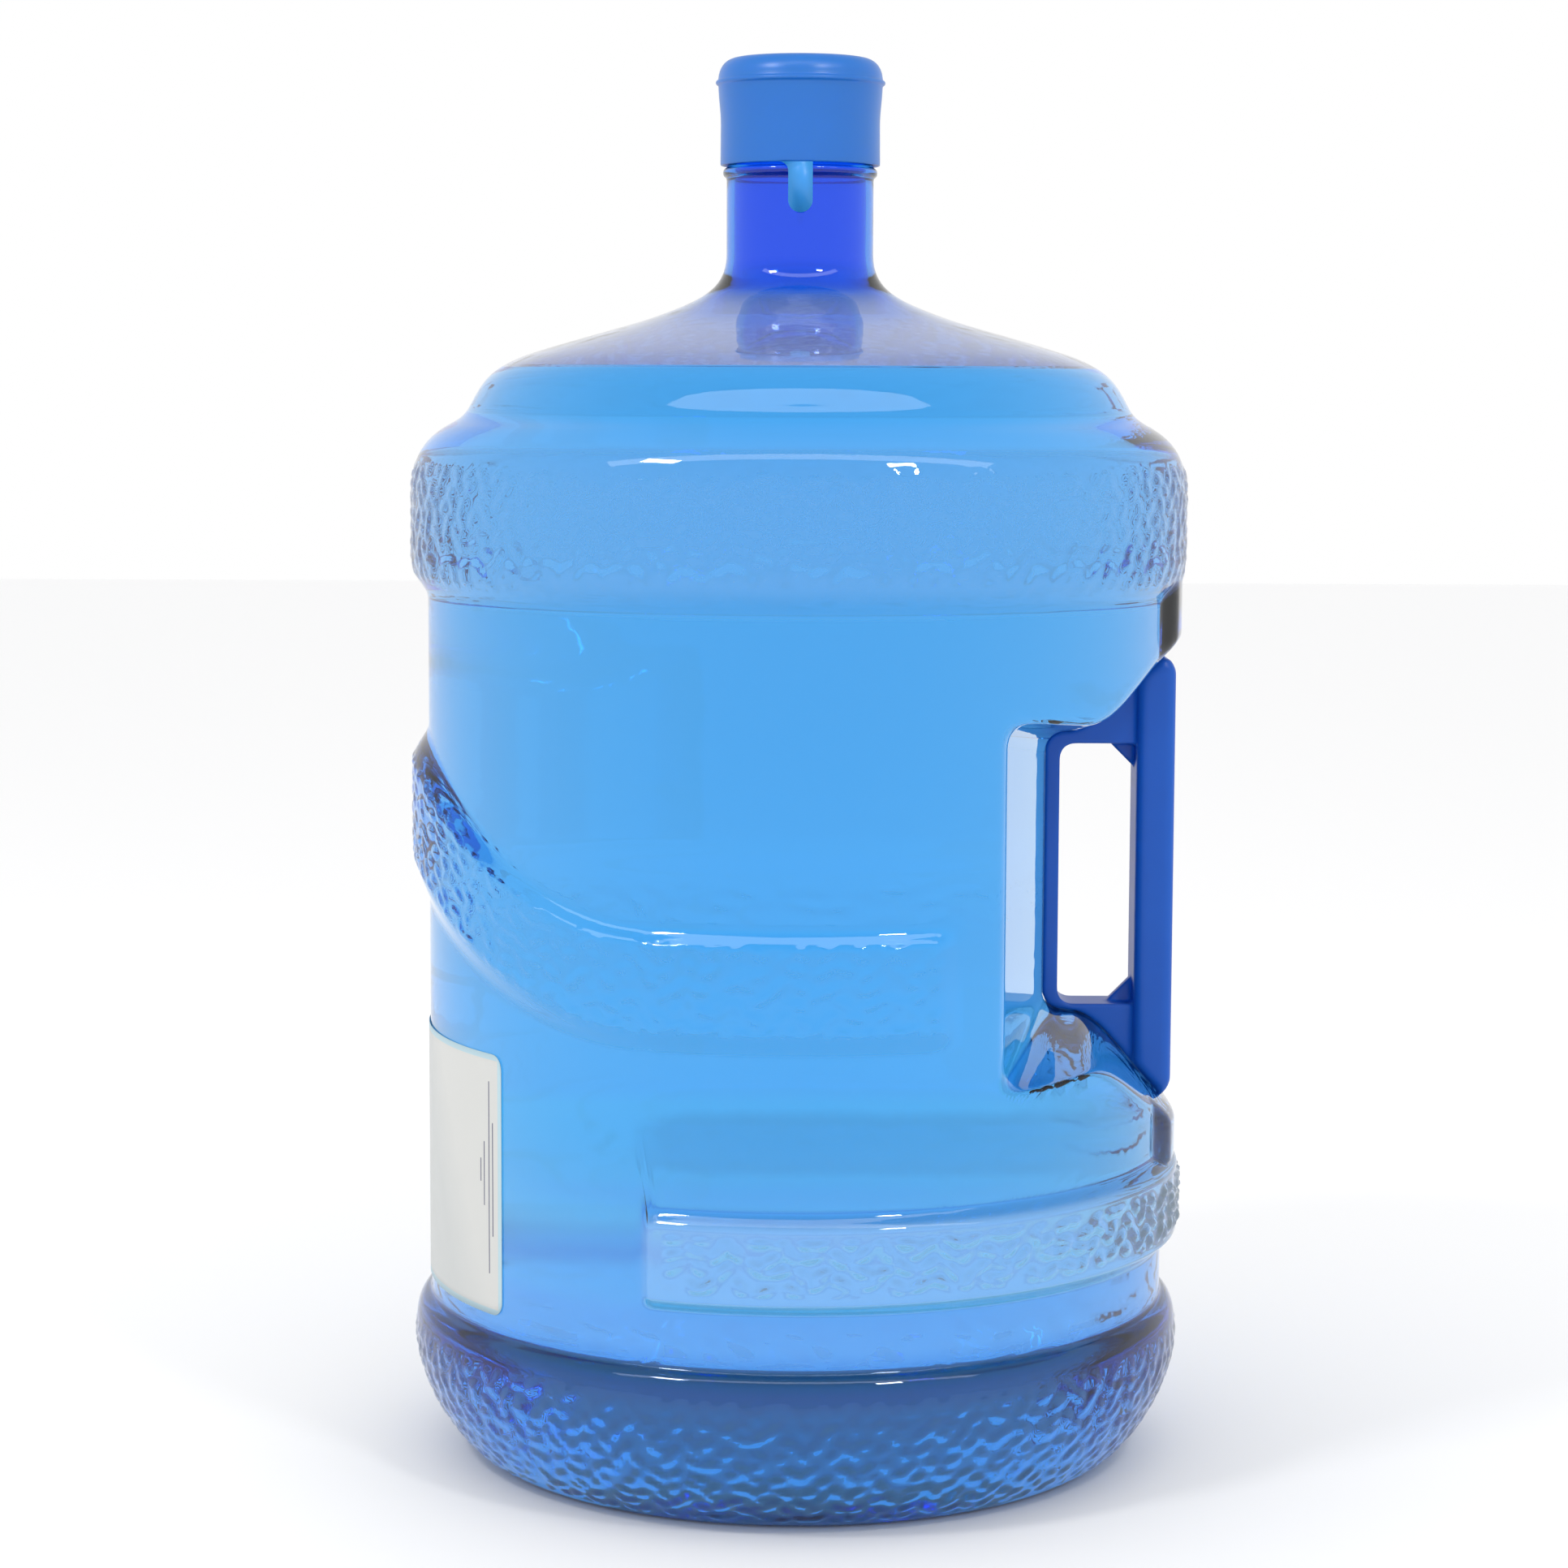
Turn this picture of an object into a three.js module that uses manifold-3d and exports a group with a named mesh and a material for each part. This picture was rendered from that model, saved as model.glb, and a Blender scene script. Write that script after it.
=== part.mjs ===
// A five-gallon (18.9 litre) water-cooler jug, full, with its push-on cap.
// Millimetres, +Z up. The origin is the centre of the ring that the jug stands on.
// The grip is on +X, the label on -X, and the cap's pull tab faces -Y.
// The jug is the same on both sides of the XZ plane, where its mould parts.

import * as THREE from 'three';
import { mergeVertices } from 'three/addons/utils/BufferGeometryUtils.js';
import Module from 'manifold-3d';

const wasm = await Module();
wasm.setup();

// ---------------------------------------------------------------- driving dimensions

const CLEARANCE = 0.3; // gap between pieces that touch

// heights, from the floor up
const BASE_HEIGHT = 57; // base band, up to the barrel
const BARREL_HEIGHT = 247; // plain wall between the two bands
const BAND_HEIGHT = 61.5; // top band, up to the groove below the shoulder
const SHOULDER_HEIGHT = 50; // groove to the foot of the neck
const NECK_HEIGHT = 68.5; // straight neck with its finish

// radii
const BAND_RADIUS = 136; // base band and top band
const BARREL_INSET = 5.5; // barrel inside the bands
const TIER_INSET = 17.5; // groove inside the bands
const NECK_RADIUS = 25.7;
const FLANGE_STAND_OUT = 1.3; // neck flange, just under the cap
const FLANGE_HEIGHT = 2.5;
const FLANGE_DROP = 31; // flange's top, below the lip
const LIP_INSET = 0.3; // neck finish inside the neck's radius
const SNAP_STAND_OUT = 0.5; // ring on the neck that the cap snaps over
const SNAP_DROP = 19; // its top edge, below the lip
const SNAP_HEIGHT = 1;
const LIP_ROUND = 1;

// walls
const WALL = 1.6;
const NECK_WALL = 2.6;

// base
const FOOT_OUTER_RADIUS = 110;
const FOOT_INNER_RADIUS = 98;
const PUSH_UP = 14; // height of the pushed-up centre of the base
const BASE_BULGE_HEIGHT = 43; // where the base band is widest
const DOME_EDGE = 5; // from the foot ring's inner edge to the pushed-up centre's side
const DOME_SIDE_HEIGHT = 4;
const DOME_DROP = 2; // pushed-up centre's edge, below its middle
const DOME_FLAT = 0.6; // share of the foot ring's inner radius that is nearly flat
const FOOT_ROUND = 9; // how far the foot's outer edge runs out before it turns up

// rounding of the bands and the shoulder
const BASE_TOP_ROUND = 7; // top of the base band, down from the barrel's foot
const BASE_TOP_FILLET = 4; // and out from the barrel
const BAND_STEP_HEIGHT = 15; // from the barrel's top to the top band's full radius
const BAND_ROUND_HEIGHT = 24; // top of the top band, down from the groove
const KNEE_INSET = 6.5; // shoulder's knee, inside the groove
const KNEE_HEIGHT = 11; // knee's foot, above the groove
const KNEE_RUN = 17; // how far in the knee's round runs
const KNEE_RISE = 11;
const NECK_FILLET_RUN = 28; // fillet from the shoulder to the neck, out from the neck
const NECK_FILLET_DROP = 15; // and down from the neck's foot
const NECK_FILLET_RISE = 8; // and up it

// grained panel that wraps round under the grip
const PANEL_FOOT = 18.5; // above the base band
const PANEL_HEIGHT = 35.5;
const PANEL_STAND_OUT = 5; // under the grip
const PANEL_END_STAND_OUT = 3.8; // at its ends
const PANEL_SLOPE = 6.5; // height of its sloping top and bottom edges
const PANEL_END = 113.7; // degrees from the grip to each end
const PANEL_END_SLOPE = 3.2;

// arched rib over the label side
const RIB_FOOT = -20.3; // its lower edge, from the barrel's mid height
const RIB_HEIGHT = 43.4;
const RIB_STAND_OUT = 5.5; // over the label
const RIB_END_STAND_OUT = 3.6; // where the arch has come down
const RIB_LOWER_SLOPE = 10;
const RIB_UPPER_SLOPE = 7.5;
const RIB_LOWER_RISE = 42.5; // how far the lower edge rises over the label
const RIB_UPPER_RISE = 56;
const RIB_FACE_RISE = 51; // and its face's upper edge
const RIB_ARCH = 68; // degrees from the label's middle to each foot of the arch
const RIB_END = 114.7; // degrees from the label's middle to each end
const RIB_END_SLOPE = 4.7;

// columns above and below the grip
const COLUMN_STAND_OUT = 4.5;
const COLUMN_HALF_ANGLE = 18.5; // degrees
const COLUMN_SIDE_SLOPE = 5;
const COLUMN_SHOULDER = 0.16; // lower column's rows, as shares of the way from panel to rib
const LOWER_COLUMN_TOP = 0.41;
const UPPER_COLUMN_HEIGHT = 20; // below the top band
const UPPER_COLUMN_FOOT = 0.72; // row under it, as a share of the way from the rib to the band

// hand recess and grip
const RECESS_DEPTH = 43.5; // from the barrel's radius to the recess wall
const RECESS_FLAT = 16; // half width of the recess's straight middle
const RECESS_SIDE_DRAFT = 0.208; // how fast the wall slopes outwards from there
const RECESS_END_DRAFT = 0.12; // and its ceiling and floor
const RECESS_CORNER = 8;
const GRIP_OFFSET = 23; // middle of the grip, above the barrel's mid height
const GRIP_LENGTH = 158;
const GRIP_THICKNESS = 13.6; // along X
const GRIP_WIDTH = 28; // along Y
const GRIP_STAND_OUT = 2.5; // outer face, outside the barrel's radius
const GRIP_ROUNDING = 4;
const ARM_WIDTH = 20; // along Y
const POST_THICKNESS = 5.5; // along X
const ARM_THICKNESS = 4.5; // along Z, where the upper arm leaves the post
const LOWER_ARM_THICKNESS = 2;
const WINDOW_LENGTH = 93; // finger gap, along Z
const WINDOW_OFFSET = 2.5; // its middle, above the grip's
const WINDOW_CORNER = 5;
const GUSSET = 9;
const GUSSET_WIDTH = 5;
const RECESS_FLARE = 26; // how far the ceiling and floor curve away towards the jug's skin

// label
const LABEL_FOOT = 7; // above the base band
const LABEL_HEIGHT = 89.5;
const LABEL_HALF_ANGLE = 40.6; // degrees
const LABEL_THICKNESS = 0.5;
const LABEL_CORNER = 5;

// water
const WATER_BELOW_SHOULDER_TOP = 33; // water line, below the foot of the neck

// cap
const CAP_FIT = 0.5; // between the cap's skirt and the snap ring
const CAP_WALL = 1.4;
const CAP_ABOVE_LIP = 7; // cap's top above the neck's lip
const CAP_TOP_WALL = 1.6;
const CAP_TOP_ROUNDING = 7;
const CAP_FLARE = 0.9; // how much wider the skirt is at the top
const BEAD_STAND_OUT = 0.8;
const BEAD_DROP = 9; // bead, below the cap's top
const SKIRT_GAP = 1; // skirt's lower edge above the neck flange
const LINER_THICKNESS = 3;

// pull tab
const TAB_LENGTH = 17;
const TAB_WIDTH = 8.4;
const TAB_THICKNESS = 1.2;

const ANGLE_STEP = 11; // degrees, at most, between facets round the jug

// ---------------------------------------------------------------- sizes that follow

const BARREL_RADIUS = BAND_RADIUS - BARREL_INSET;
const BARREL_BOTTOM = BASE_HEIGHT;
const BARREL_TOP = BARREL_BOTTOM + BARREL_HEIGHT;
const BARREL_MIDDLE = (BARREL_BOTTOM + BARREL_TOP) / 2;
const GROOVE_Z = BARREL_TOP + BAND_HEIGHT;
const NECK_FOOT_Z = GROOVE_Z + SHOULDER_HEIGHT;
const LIP_Z = NECK_FOOT_Z + NECK_HEIGHT;
const BORE_RADIUS = NECK_RADIUS - NECK_WALL;
const WATER_Z = NECK_FOOT_Z - WATER_BELOW_SHOULDER_TOP;
const GRIP_MIDDLE = BARREL_MIDDLE + GRIP_OFFSET;
const GRIP_TOP = GRIP_MIDDLE + GRIP_LENGTH / 2;
const GRIP_BOTTOM = GRIP_MIDDLE - GRIP_LENGTH / 2;
const GRIP_OUTER_X = BARREL_RADIUS + GRIP_STAND_OUT;
const GRIP_INNER_X = GRIP_OUTER_X - GRIP_THICKNESS;
const RECESS_X = BARREL_RADIUS - RECESS_DEPTH;
const WINDOW_MIDDLE = GRIP_MIDDLE + WINDOW_OFFSET;
const WINDOW_TOP = WINDOW_MIDDLE + WINDOW_LENGTH / 2;
const WINDOW_BOTTOM = WINDOW_MIDDLE - WINDOW_LENGTH / 2;
const CAP_TOP_Z = LIP_Z + CAP_ABOVE_LIP;
const SNAP_RADIUS = NECK_RADIUS - LIP_INSET + SNAP_STAND_OUT;
const CAP_INNER_RADIUS = SNAP_RADIUS + CAP_FIT;
const SKIRT_RADIUS = CAP_INNER_RADIUS + CAP_WALL;
const FLANGE_TOP_Z = LIP_Z - FLANGE_DROP;
const SKIRT_BOTTOM_Z = FLANGE_TOP_Z + SKIRT_GAP;
const FAR = BAND_RADIUS + 20; // well outside the jug

const radians = (degrees) => (degrees * Math.PI) / 180;

// ---------------------------------------------------------------- solids

// A closed BufferGeometry as a solid that can be cut and joined.
function solidOf(geometry) {
  const bare = geometry.clone();
  bare.deleteAttribute('normal');
  bare.deleteAttribute('uv');
  const merged = mergeVertices(bare, 1e-4);
  const mesh = new wasm.Mesh({
    numProp: 3,
    vertProperties: new Float32Array(merged.attributes.position.array),
    triVerts: new Uint32Array(merged.index.array),
  });
  return new wasm.Manifold(mesh);
}

function geometryOf(solid) {
  const mesh = solid.getMesh();
  const geometry = new THREE.BufferGeometry();
  geometry.setAttribute('position', new THREE.BufferAttribute(new Float32Array(mesh.vertProperties), 3));
  geometry.setIndex(new THREE.BufferAttribute(new Uint32Array(mesh.triVerts), 1));
  geometry.computeVertexNormals();
  return geometry;
}

function geometryFrom(points, triangles) {
  const geometry = new THREE.BufferGeometry();
  geometry.setAttribute('position', new THREE.Float32BufferAttribute(points.flat(), 3));
  geometry.setIndex(triangles);
  geometry.computeVertexNormals();
  return geometry;
}

// A closed skin over rings of points, lowest first, closed at each end by one point on the axis.
function skinOverRings(bottom, rings, top) {
  const count = rings[0].length;
  const points = [bottom, ...rings.flat(), top];
  const last = points.length - 1;
  const at = (ring, i) => 1 + ring * count + (i % count);
  const triangles = [];
  for (let i = 0; i < count; i += 1) {
    triangles.push(0, at(0, i + 1), at(0, i));
    triangles.push(last, at(rings.length - 1, i), at(rings.length - 1, i + 1));
  }
  for (let ring = 0; ring < rings.length - 1; ring += 1) {
    for (let i = 0; i < count; i += 1) {
      const [a, b] = [at(ring, i), at(ring, i + 1)];
      const [d, c] = [at(ring + 1, i), at(ring + 1, i + 1)];
      triangles.push(a, b, c, a, c, d);
    }
  }
  return geometryFrom(points, triangles);
}

// ---------------------------------------------------------------- the jug's skin

// Degrees from the grip (+X), a full turn, with a facet edge at every feature's edge.
function facetAngles() {
  const edges = [
    0,
    COLUMN_HALF_ANGLE - COLUMN_SIDE_SLOPE,
    COLUMN_HALF_ANGLE,
    180 - RIB_END,
    180 - RIB_END + RIB_END_SLOPE,
    PANEL_END - PANEL_END_SLOPE,
    PANEL_END,
    180,
  ].sort((a, b) => a - b);
  const half = [];
  for (let i = 0; i < edges.length - 1; i += 1) {
    const steps = Math.max(1, Math.ceil((edges[i + 1] - edges[i]) / ANGLE_STEP));
    for (let step = 0; step < steps; step += 1) {
      half.push(edges[i] + ((edges[i + 1] - edges[i]) * step) / steps);
    }
  }
  const mirrored = half.slice(1).map((angle) => 360 - angle).reverse();
  return [...half, 180, ...mirrored];
}

const ANGLES = facetAngles();

// Points of a curve as rows of the jug's profile.
function curveRows(curve, steps) {
  return curve.getPoints(steps).map((point) => ({ r: point.x, z: point.y }));
}

// Half of the jug's outline from the middle of the base up to the foot of the neck. A row also
// says how far each raised feature stands out there, and how far the arch lifts it.
function bodyRows() {
  const foot = [
    { r: FOOT_INNER_RADIUS * DOME_FLAT, z: PUSH_UP - DOME_DROP },
    { r: FOOT_INNER_RADIUS - DOME_EDGE, z: DOME_SIDE_HEIGHT },
    { r: FOOT_INNER_RADIUS, z: 0 },
    { r: FOOT_OUTER_RADIUS, z: 0 },
  ];
  const bulge = new THREE.CubicBezierCurve(
    new THREE.Vector2(FOOT_OUTER_RADIUS, 0),
    new THREE.Vector2(FOOT_OUTER_RADIUS + FOOT_ROUND, FOOT_ROUND / 6),
    new THREE.Vector2(BAND_RADIUS, BASE_BULGE_HEIGHT * 0.55),
    new THREE.Vector2(BAND_RADIUS, BASE_BULGE_HEIGHT),
  );
  const baseTop = new THREE.CubicBezierCurve(
    new THREE.Vector2(BAND_RADIUS, BASE_BULGE_HEIGHT),
    new THREE.Vector2(BAND_RADIUS, BASE_HEIGHT - BASE_TOP_ROUND),
    new THREE.Vector2(BARREL_RADIUS + BASE_TOP_FILLET, BASE_HEIGHT - 1),
    new THREE.Vector2(BARREL_RADIUS, BASE_HEIGHT),
  );
  return [
    ...foot,
    ...curveRows(bulge, 5).slice(1),
    ...curveRows(baseTop, 3).slice(1),
    ...barrelRows(),
    ...bandRows(),
  ];
}

function barrelRows() {
  const r = BARREL_RADIUS;
  const panelFoot = BARREL_BOTTOM + PANEL_FOOT;
  const panelTop = panelFoot + PANEL_HEIGHT;
  const ribFoot = BARREL_MIDDLE + RIB_FOOT;
  const ribTop = ribFoot + RIB_HEIGHT;
  return [
    { r, z: panelFoot },
    { r, z: panelFoot + PANEL_SLOPE, panel: 1, column: 1 },
    { r, z: panelTop - PANEL_SLOPE, panel: 1, column: 1 },
    { r, z: panelTop, column: 1 },
    { r, z: between(panelTop, ribFoot, COLUMN_SHOULDER), column: 1 },
    { r, z: between(panelTop, ribFoot, LOWER_COLUMN_TOP), column: 1 },
    { r, z: ribFoot, lift: RIB_LOWER_RISE },
    { r, z: ribFoot + RIB_LOWER_SLOPE, rib: 1, lift: RIB_LOWER_RISE },
    { r, z: ribTop - RIB_UPPER_SLOPE, rib: 1, lift: RIB_FACE_RISE },
    { r, z: ribTop, lift: RIB_UPPER_RISE },
    { r, z: between(ribTop, BARREL_TOP, UPPER_COLUMN_FOOT) },
    { r, z: BARREL_TOP - UPPER_COLUMN_HEIGHT, column: 1 },
    { r, z: BARREL_TOP, column: 1 },
  ];
}

// The top band, the groove, the shoulder's two tiers and the fillet up to the neck.
function bandRows() {
  const grooveRadius = BAND_RADIUS - TIER_INSET;
  const kneeRadius = grooveRadius - KNEE_INSET;
  const kneeZ = GROOVE_Z + KNEE_HEIGHT;
  const step = new THREE.QuadraticBezierCurve(
    new THREE.Vector2(BARREL_RADIUS + 2, BARREL_TOP + BAND_STEP_HEIGHT / 5),
    new THREE.Vector2(BAND_RADIUS, BARREL_TOP + BAND_STEP_HEIGHT / 3),
    new THREE.Vector2(BAND_RADIUS, BARREL_TOP + BAND_STEP_HEIGHT),
  );
  const round = new THREE.CubicBezierCurve(
    new THREE.Vector2(BAND_RADIUS, GROOVE_Z - BAND_ROUND_HEIGHT),
    new THREE.Vector2(BAND_RADIUS, GROOVE_Z - BAND_ROUND_HEIGHT * 0.4),
    new THREE.Vector2(BAND_RADIUS - TIER_INSET * 0.4, GROOVE_Z - BAND_ROUND_HEIGHT / 6),
    new THREE.Vector2(grooveRadius, GROOVE_Z),
  );
  const knee = new THREE.QuadraticBezierCurve(
    new THREE.Vector2(kneeRadius, kneeZ),
    new THREE.Vector2(kneeRadius - KNEE_RUN / 4, kneeZ + KNEE_RISE * 0.65),
    new THREE.Vector2(kneeRadius - KNEE_RUN, kneeZ + KNEE_RISE),
  );
  const fillet = new THREE.CubicBezierCurve(
    new THREE.Vector2(NECK_RADIUS + NECK_FILLET_RUN, NECK_FOOT_Z - NECK_FILLET_DROP),
    new THREE.Vector2(NECK_RADIUS + NECK_FILLET_RUN * 0.43, NECK_FOOT_Z - NECK_FILLET_DROP * 0.57),
    new THREE.Vector2(NECK_RADIUS, NECK_FOOT_Z - NECK_FILLET_DROP / 5),
    new THREE.Vector2(NECK_RADIUS, NECK_FOOT_Z + NECK_FILLET_RISE),
  );
  return [
    ...curveRows(step, 3),
    ...curveRows(round, 4),
    ...curveRows(knee, 3),
    ...curveRows(fillet, 5),
  ];
}

function finishRows() {
  const lip = NECK_RADIUS - LIP_INSET;
  const flangeRadius = NECK_RADIUS + FLANGE_STAND_OUT;
  const flangeBottom = FLANGE_TOP_Z - FLANGE_HEIGHT;
  const snapZ = LIP_Z - SNAP_DROP;
  return [
    { r: NECK_RADIUS, z: flangeBottom - FLANGE_STAND_OUT },
    { r: flangeRadius, z: flangeBottom },
    { r: flangeRadius, z: FLANGE_TOP_Z },
    { r: lip, z: FLANGE_TOP_Z + FLANGE_STAND_OUT / 2 },
    { r: lip, z: snapZ - 2 * SNAP_HEIGHT },
    { r: SNAP_RADIUS, z: snapZ - SNAP_HEIGHT },
    { r: SNAP_RADIUS, z: snapZ },
    { r: lip, z: snapZ + SNAP_HEIGHT },
    { r: lip, z: LIP_Z - LIP_ROUND },
    { r: lip - LIP_ROUND, z: LIP_Z },
  ];
}

// Rows moved into the wall by a distance, square to the outline.
function insetRows(rows, distance) {
  return rows.map((row, i) => {
    const before = rows[Math.max(i - 1, 0)];
    const after = rows[Math.min(i + 1, rows.length - 1)];
    const first = new THREE.Vector2(row.r - before.r, row.z - before.z).normalize();
    const second = new THREE.Vector2(after.r - row.r, after.z - row.z).normalize();
    const along = first.add(second).normalize();
    return { ...row, r: row.r - along.y * distance, z: row.z + along.x * distance };
  });
}

// 1 at the middle of a feature, falling smoothly to 0 at an angle from it.
function fallAt(angle, end) {
  return angle < end ? (1 + Math.cos((Math.PI * angle) / end)) / 2 : 0;
}

function between(low, high, share) {
  return low + (high - low) * share;
}

// 1 inside an angle, 0 beyond it, sloping over the last few degrees.
function windowAt(angle, end, slope) {
  return THREE.MathUtils.clamp((end - angle) / slope, 0, 1);
}

function ringAt(row) {
  return ANGLES.map((angle) => {
    const fromGrip = Math.min(angle, 360 - angle);
    const fromLabel = 180 - fromGrip;
    const panelDepth = between(PANEL_END_STAND_OUT, PANEL_STAND_OUT, fallAt(fromGrip, PANEL_END));
    const ribDepth = between(RIB_END_STAND_OUT, RIB_STAND_OUT, fallAt(fromLabel, RIB_ARCH));
    const panel = (row.panel ?? 0) * panelDepth * windowAt(fromGrip, PANEL_END, PANEL_END_SLOPE);
    const rib = (row.rib ?? 0) * ribDepth * windowAt(fromLabel, RIB_END, RIB_END_SLOPE);
    const columnWindow = windowAt(fromGrip, COLUMN_HALF_ANGLE, COLUMN_SIDE_SLOPE);
    const column = (row.column ?? 0) * COLUMN_STAND_OUT * columnWindow;
    const radius = row.r + Math.max(panel, rib, column);
    const z = row.z + (row.lift ?? 0) * fallAt(fromLabel, RIB_ARCH);
    return [radius * Math.cos(radians(angle)), radius * Math.sin(radians(angle)), z];
  });
}

// The space inside the jug's outer skin, shrunk by a distance, up to the top of its neck.
function skinSolid(rows, bottomZ, topZ) {
  return solidOf(skinOverRings([0, 0, bottomZ], rows.map(ringAt), [0, 0, topZ]));
}

function outerSolid() {
  return skinSolid([...bodyRows(), ...finishRows()], PUSH_UP, LIP_Z);
}

// The jug's inside, shrunk by an extra gap. It runs out through the neck's mouth.
function innerSolid(gap) {
  const body = insetRows(bodyRows(), WALL + gap).filter((row) => row.z < NECK_FOOT_Z - 8);
  const bore = BORE_RADIUS - gap;
  const neck = [
    { r: bore + 2, z: NECK_FOOT_Z - 6 },
    { r: bore, z: NECK_FOOT_Z },
    { r: bore, z: LIP_Z + 2 },
  ];
  return skinSolid([...body, ...neck], PUSH_UP + WALL + gap, LIP_Z + 2);
}

// ---------------------------------------------------------------- the hand recess

// The recess seen along Y, grown by a distance: wall, ceiling and floor, out past the jug.
function recessOutline(grow) {
  const wall = RECESS_X;
  const ceiling = WINDOW_TOP + ARM_THICKNESS + CLEARANCE;
  const floor = WINDOW_BOTTOM - LOWER_ARM_THICKNESS - CLEARANCE;
  const mouth = BAND_RADIUS;
  const upper = new THREE.CubicBezierCurve(
    new THREE.Vector2(wall + 9, ceiling),
    new THREE.Vector2(wall + 22, ceiling + 1.5),
    new THREE.Vector2(mouth - 20, ceiling + RECESS_FLARE - 7),
    new THREE.Vector2(mouth, ceiling + RECESS_FLARE + 8),
  );
  const lower = new THREE.CubicBezierCurve(
    new THREE.Vector2(wall + 9, floor),
    new THREE.Vector2(wall + 22, floor),
    new THREE.Vector2(mouth - 20, floor - RECESS_FLARE + 7),
    new THREE.Vector2(mouth, floor - RECESS_FLARE - 10),
  );
  const corner = Math.min(RECESS_CORNER, (ceiling - floor) / 3);
  const outline = [
    [wall, floor + corner],
    [wall, ceiling - corner],
    [wall + corner * 0.3, ceiling - corner * 0.3],
    ...upper.getPoints(6).map((point) => [point.x, point.y]),
    [FAR, ceiling + RECESS_FLARE + 26],
    [FAR, floor - RECESS_FLARE - 28],
    ...lower.getPoints(6).reverse().map((point) => [point.x, point.y]),
    [wall + corner * 0.3, floor + corner * 0.3],
  ];
  return growOutline(outline, grow);
}

// A clockwise outline moved outwards by a distance.
function growOutline(outline, distance) {
  const count = outline.length;
  return outline.map(([x, z], i) => {
    const [beforeX, beforeZ] = outline[(i + count - 1) % count];
    const [afterX, afterZ] = outline[(i + 1) % count];
    const first = new THREE.Vector2(x - beforeX, z - beforeZ).normalize();
    const second = new THREE.Vector2(afterX - x, afterZ - z).normalize();
    const normal = new THREE.Vector2(-(first.y + second.y), first.x + second.x).normalize();
    const miter = Math.max(normal.dot(new THREE.Vector2(-first.y, first.x)), 0.4);
    return [x + (normal.x * distance) / miter, z + (normal.y * distance) / miter];
  });
}

// The recess as a solid through the whole jug: straight in the middle, then wider to each side.
function recessSolid(grow) {
  const outline = recessOutline(grow);
  const count = outline.length;
  const stations = [FAR, RECESS_FLAT, -RECESS_FLAT, -FAR];
  const points = [];
  stations.forEach((y) => {
    const beyond = Math.abs(y) - RECESS_FLAT;
    outline.forEach(([x, z]) => {
      const outwards = z > WINDOW_MIDDLE ? 1 : -1;
      points.push([x - beyond * RECESS_SIDE_DRAFT, y, z + outwards * beyond * RECESS_END_DRAFT]);
    });
  });
  const triangles = [];
  for (let station = 0; station < stations.length - 1; station += 1) {
    for (let i = 0; i < count; i += 1) {
      const a = station * count + i;
      const b = station * count + ((i + 1) % count);
      triangles.push(a, b, b + count, a, b + count, a + count);
    }
  }
  const flat = outline.map(([x, z]) => new THREE.Vector2(x, z));
  const start = (stations.length - 1) * count;
  THREE.ShapeUtils.triangulateShape(flat, []).forEach(([a, b, c]) => {
    triangles.push(a, b, c);
    triangles.push(start + a, start + c, start + b);
  });
  const geometry = geometryFrom(points, triangles);
  return outwardSolid(geometry);
}

// A solid from a closed geometry whose faces may all point in.
function outwardSolid(geometry) {
  const index = geometry.index.array;
  const p = geometry.attributes.position;
  let volume = 0;
  for (let i = 0; i < index.length; i += 3) {
    const a = new THREE.Vector3().fromBufferAttribute(p, index[i]);
    const b = new THREE.Vector3().fromBufferAttribute(p, index[i + 1]);
    const c = new THREE.Vector3().fromBufferAttribute(p, index[i + 2]);
    volume += a.dot(b.cross(c));
  }
  if (volume < 0) {
    for (let i = 0; i < index.length; i += 3) {
      [index[i + 1], index[i + 2]] = [index[i + 2], index[i + 1]];
    }
  }
  return solidOf(geometry);
}

function jugBody() {
  const shape = outerSolid().subtract(recessSolid(0));
  const hollow = innerSolid(0).subtract(recessSolid(WALL));
  return geometryOf(shape.subtract(hollow));
}

function waterFill() {
  const space = innerSolid(CLEARANCE).subtract(recessSolid(WALL + CLEARANCE));
  const above = new THREE.BoxGeometry(4 * FAR, 4 * FAR, LIP_Z);
  above.translate(0, 0, WATER_Z + LIP_Z / 2);
  return geometryOf(space.subtract(solidOf(above)));
}

// ---------------------------------------------------------------- the grip

// A closed outline in the XZ plane, made solid along Y and centred on the XZ plane.
function plateAcross(outline, width) {
  const shape = new THREE.Shape(outline.map(([x, z]) => new THREE.Vector2(x, z)));
  const geometry = new THREE.ExtrudeGeometry(shape, { depth: width, bevelEnabled: false });
  geometry.rotateX(Math.PI / 2);
  geometry.translate(0, width / 2, 0);
  return solidOf(geometry);
}

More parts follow.
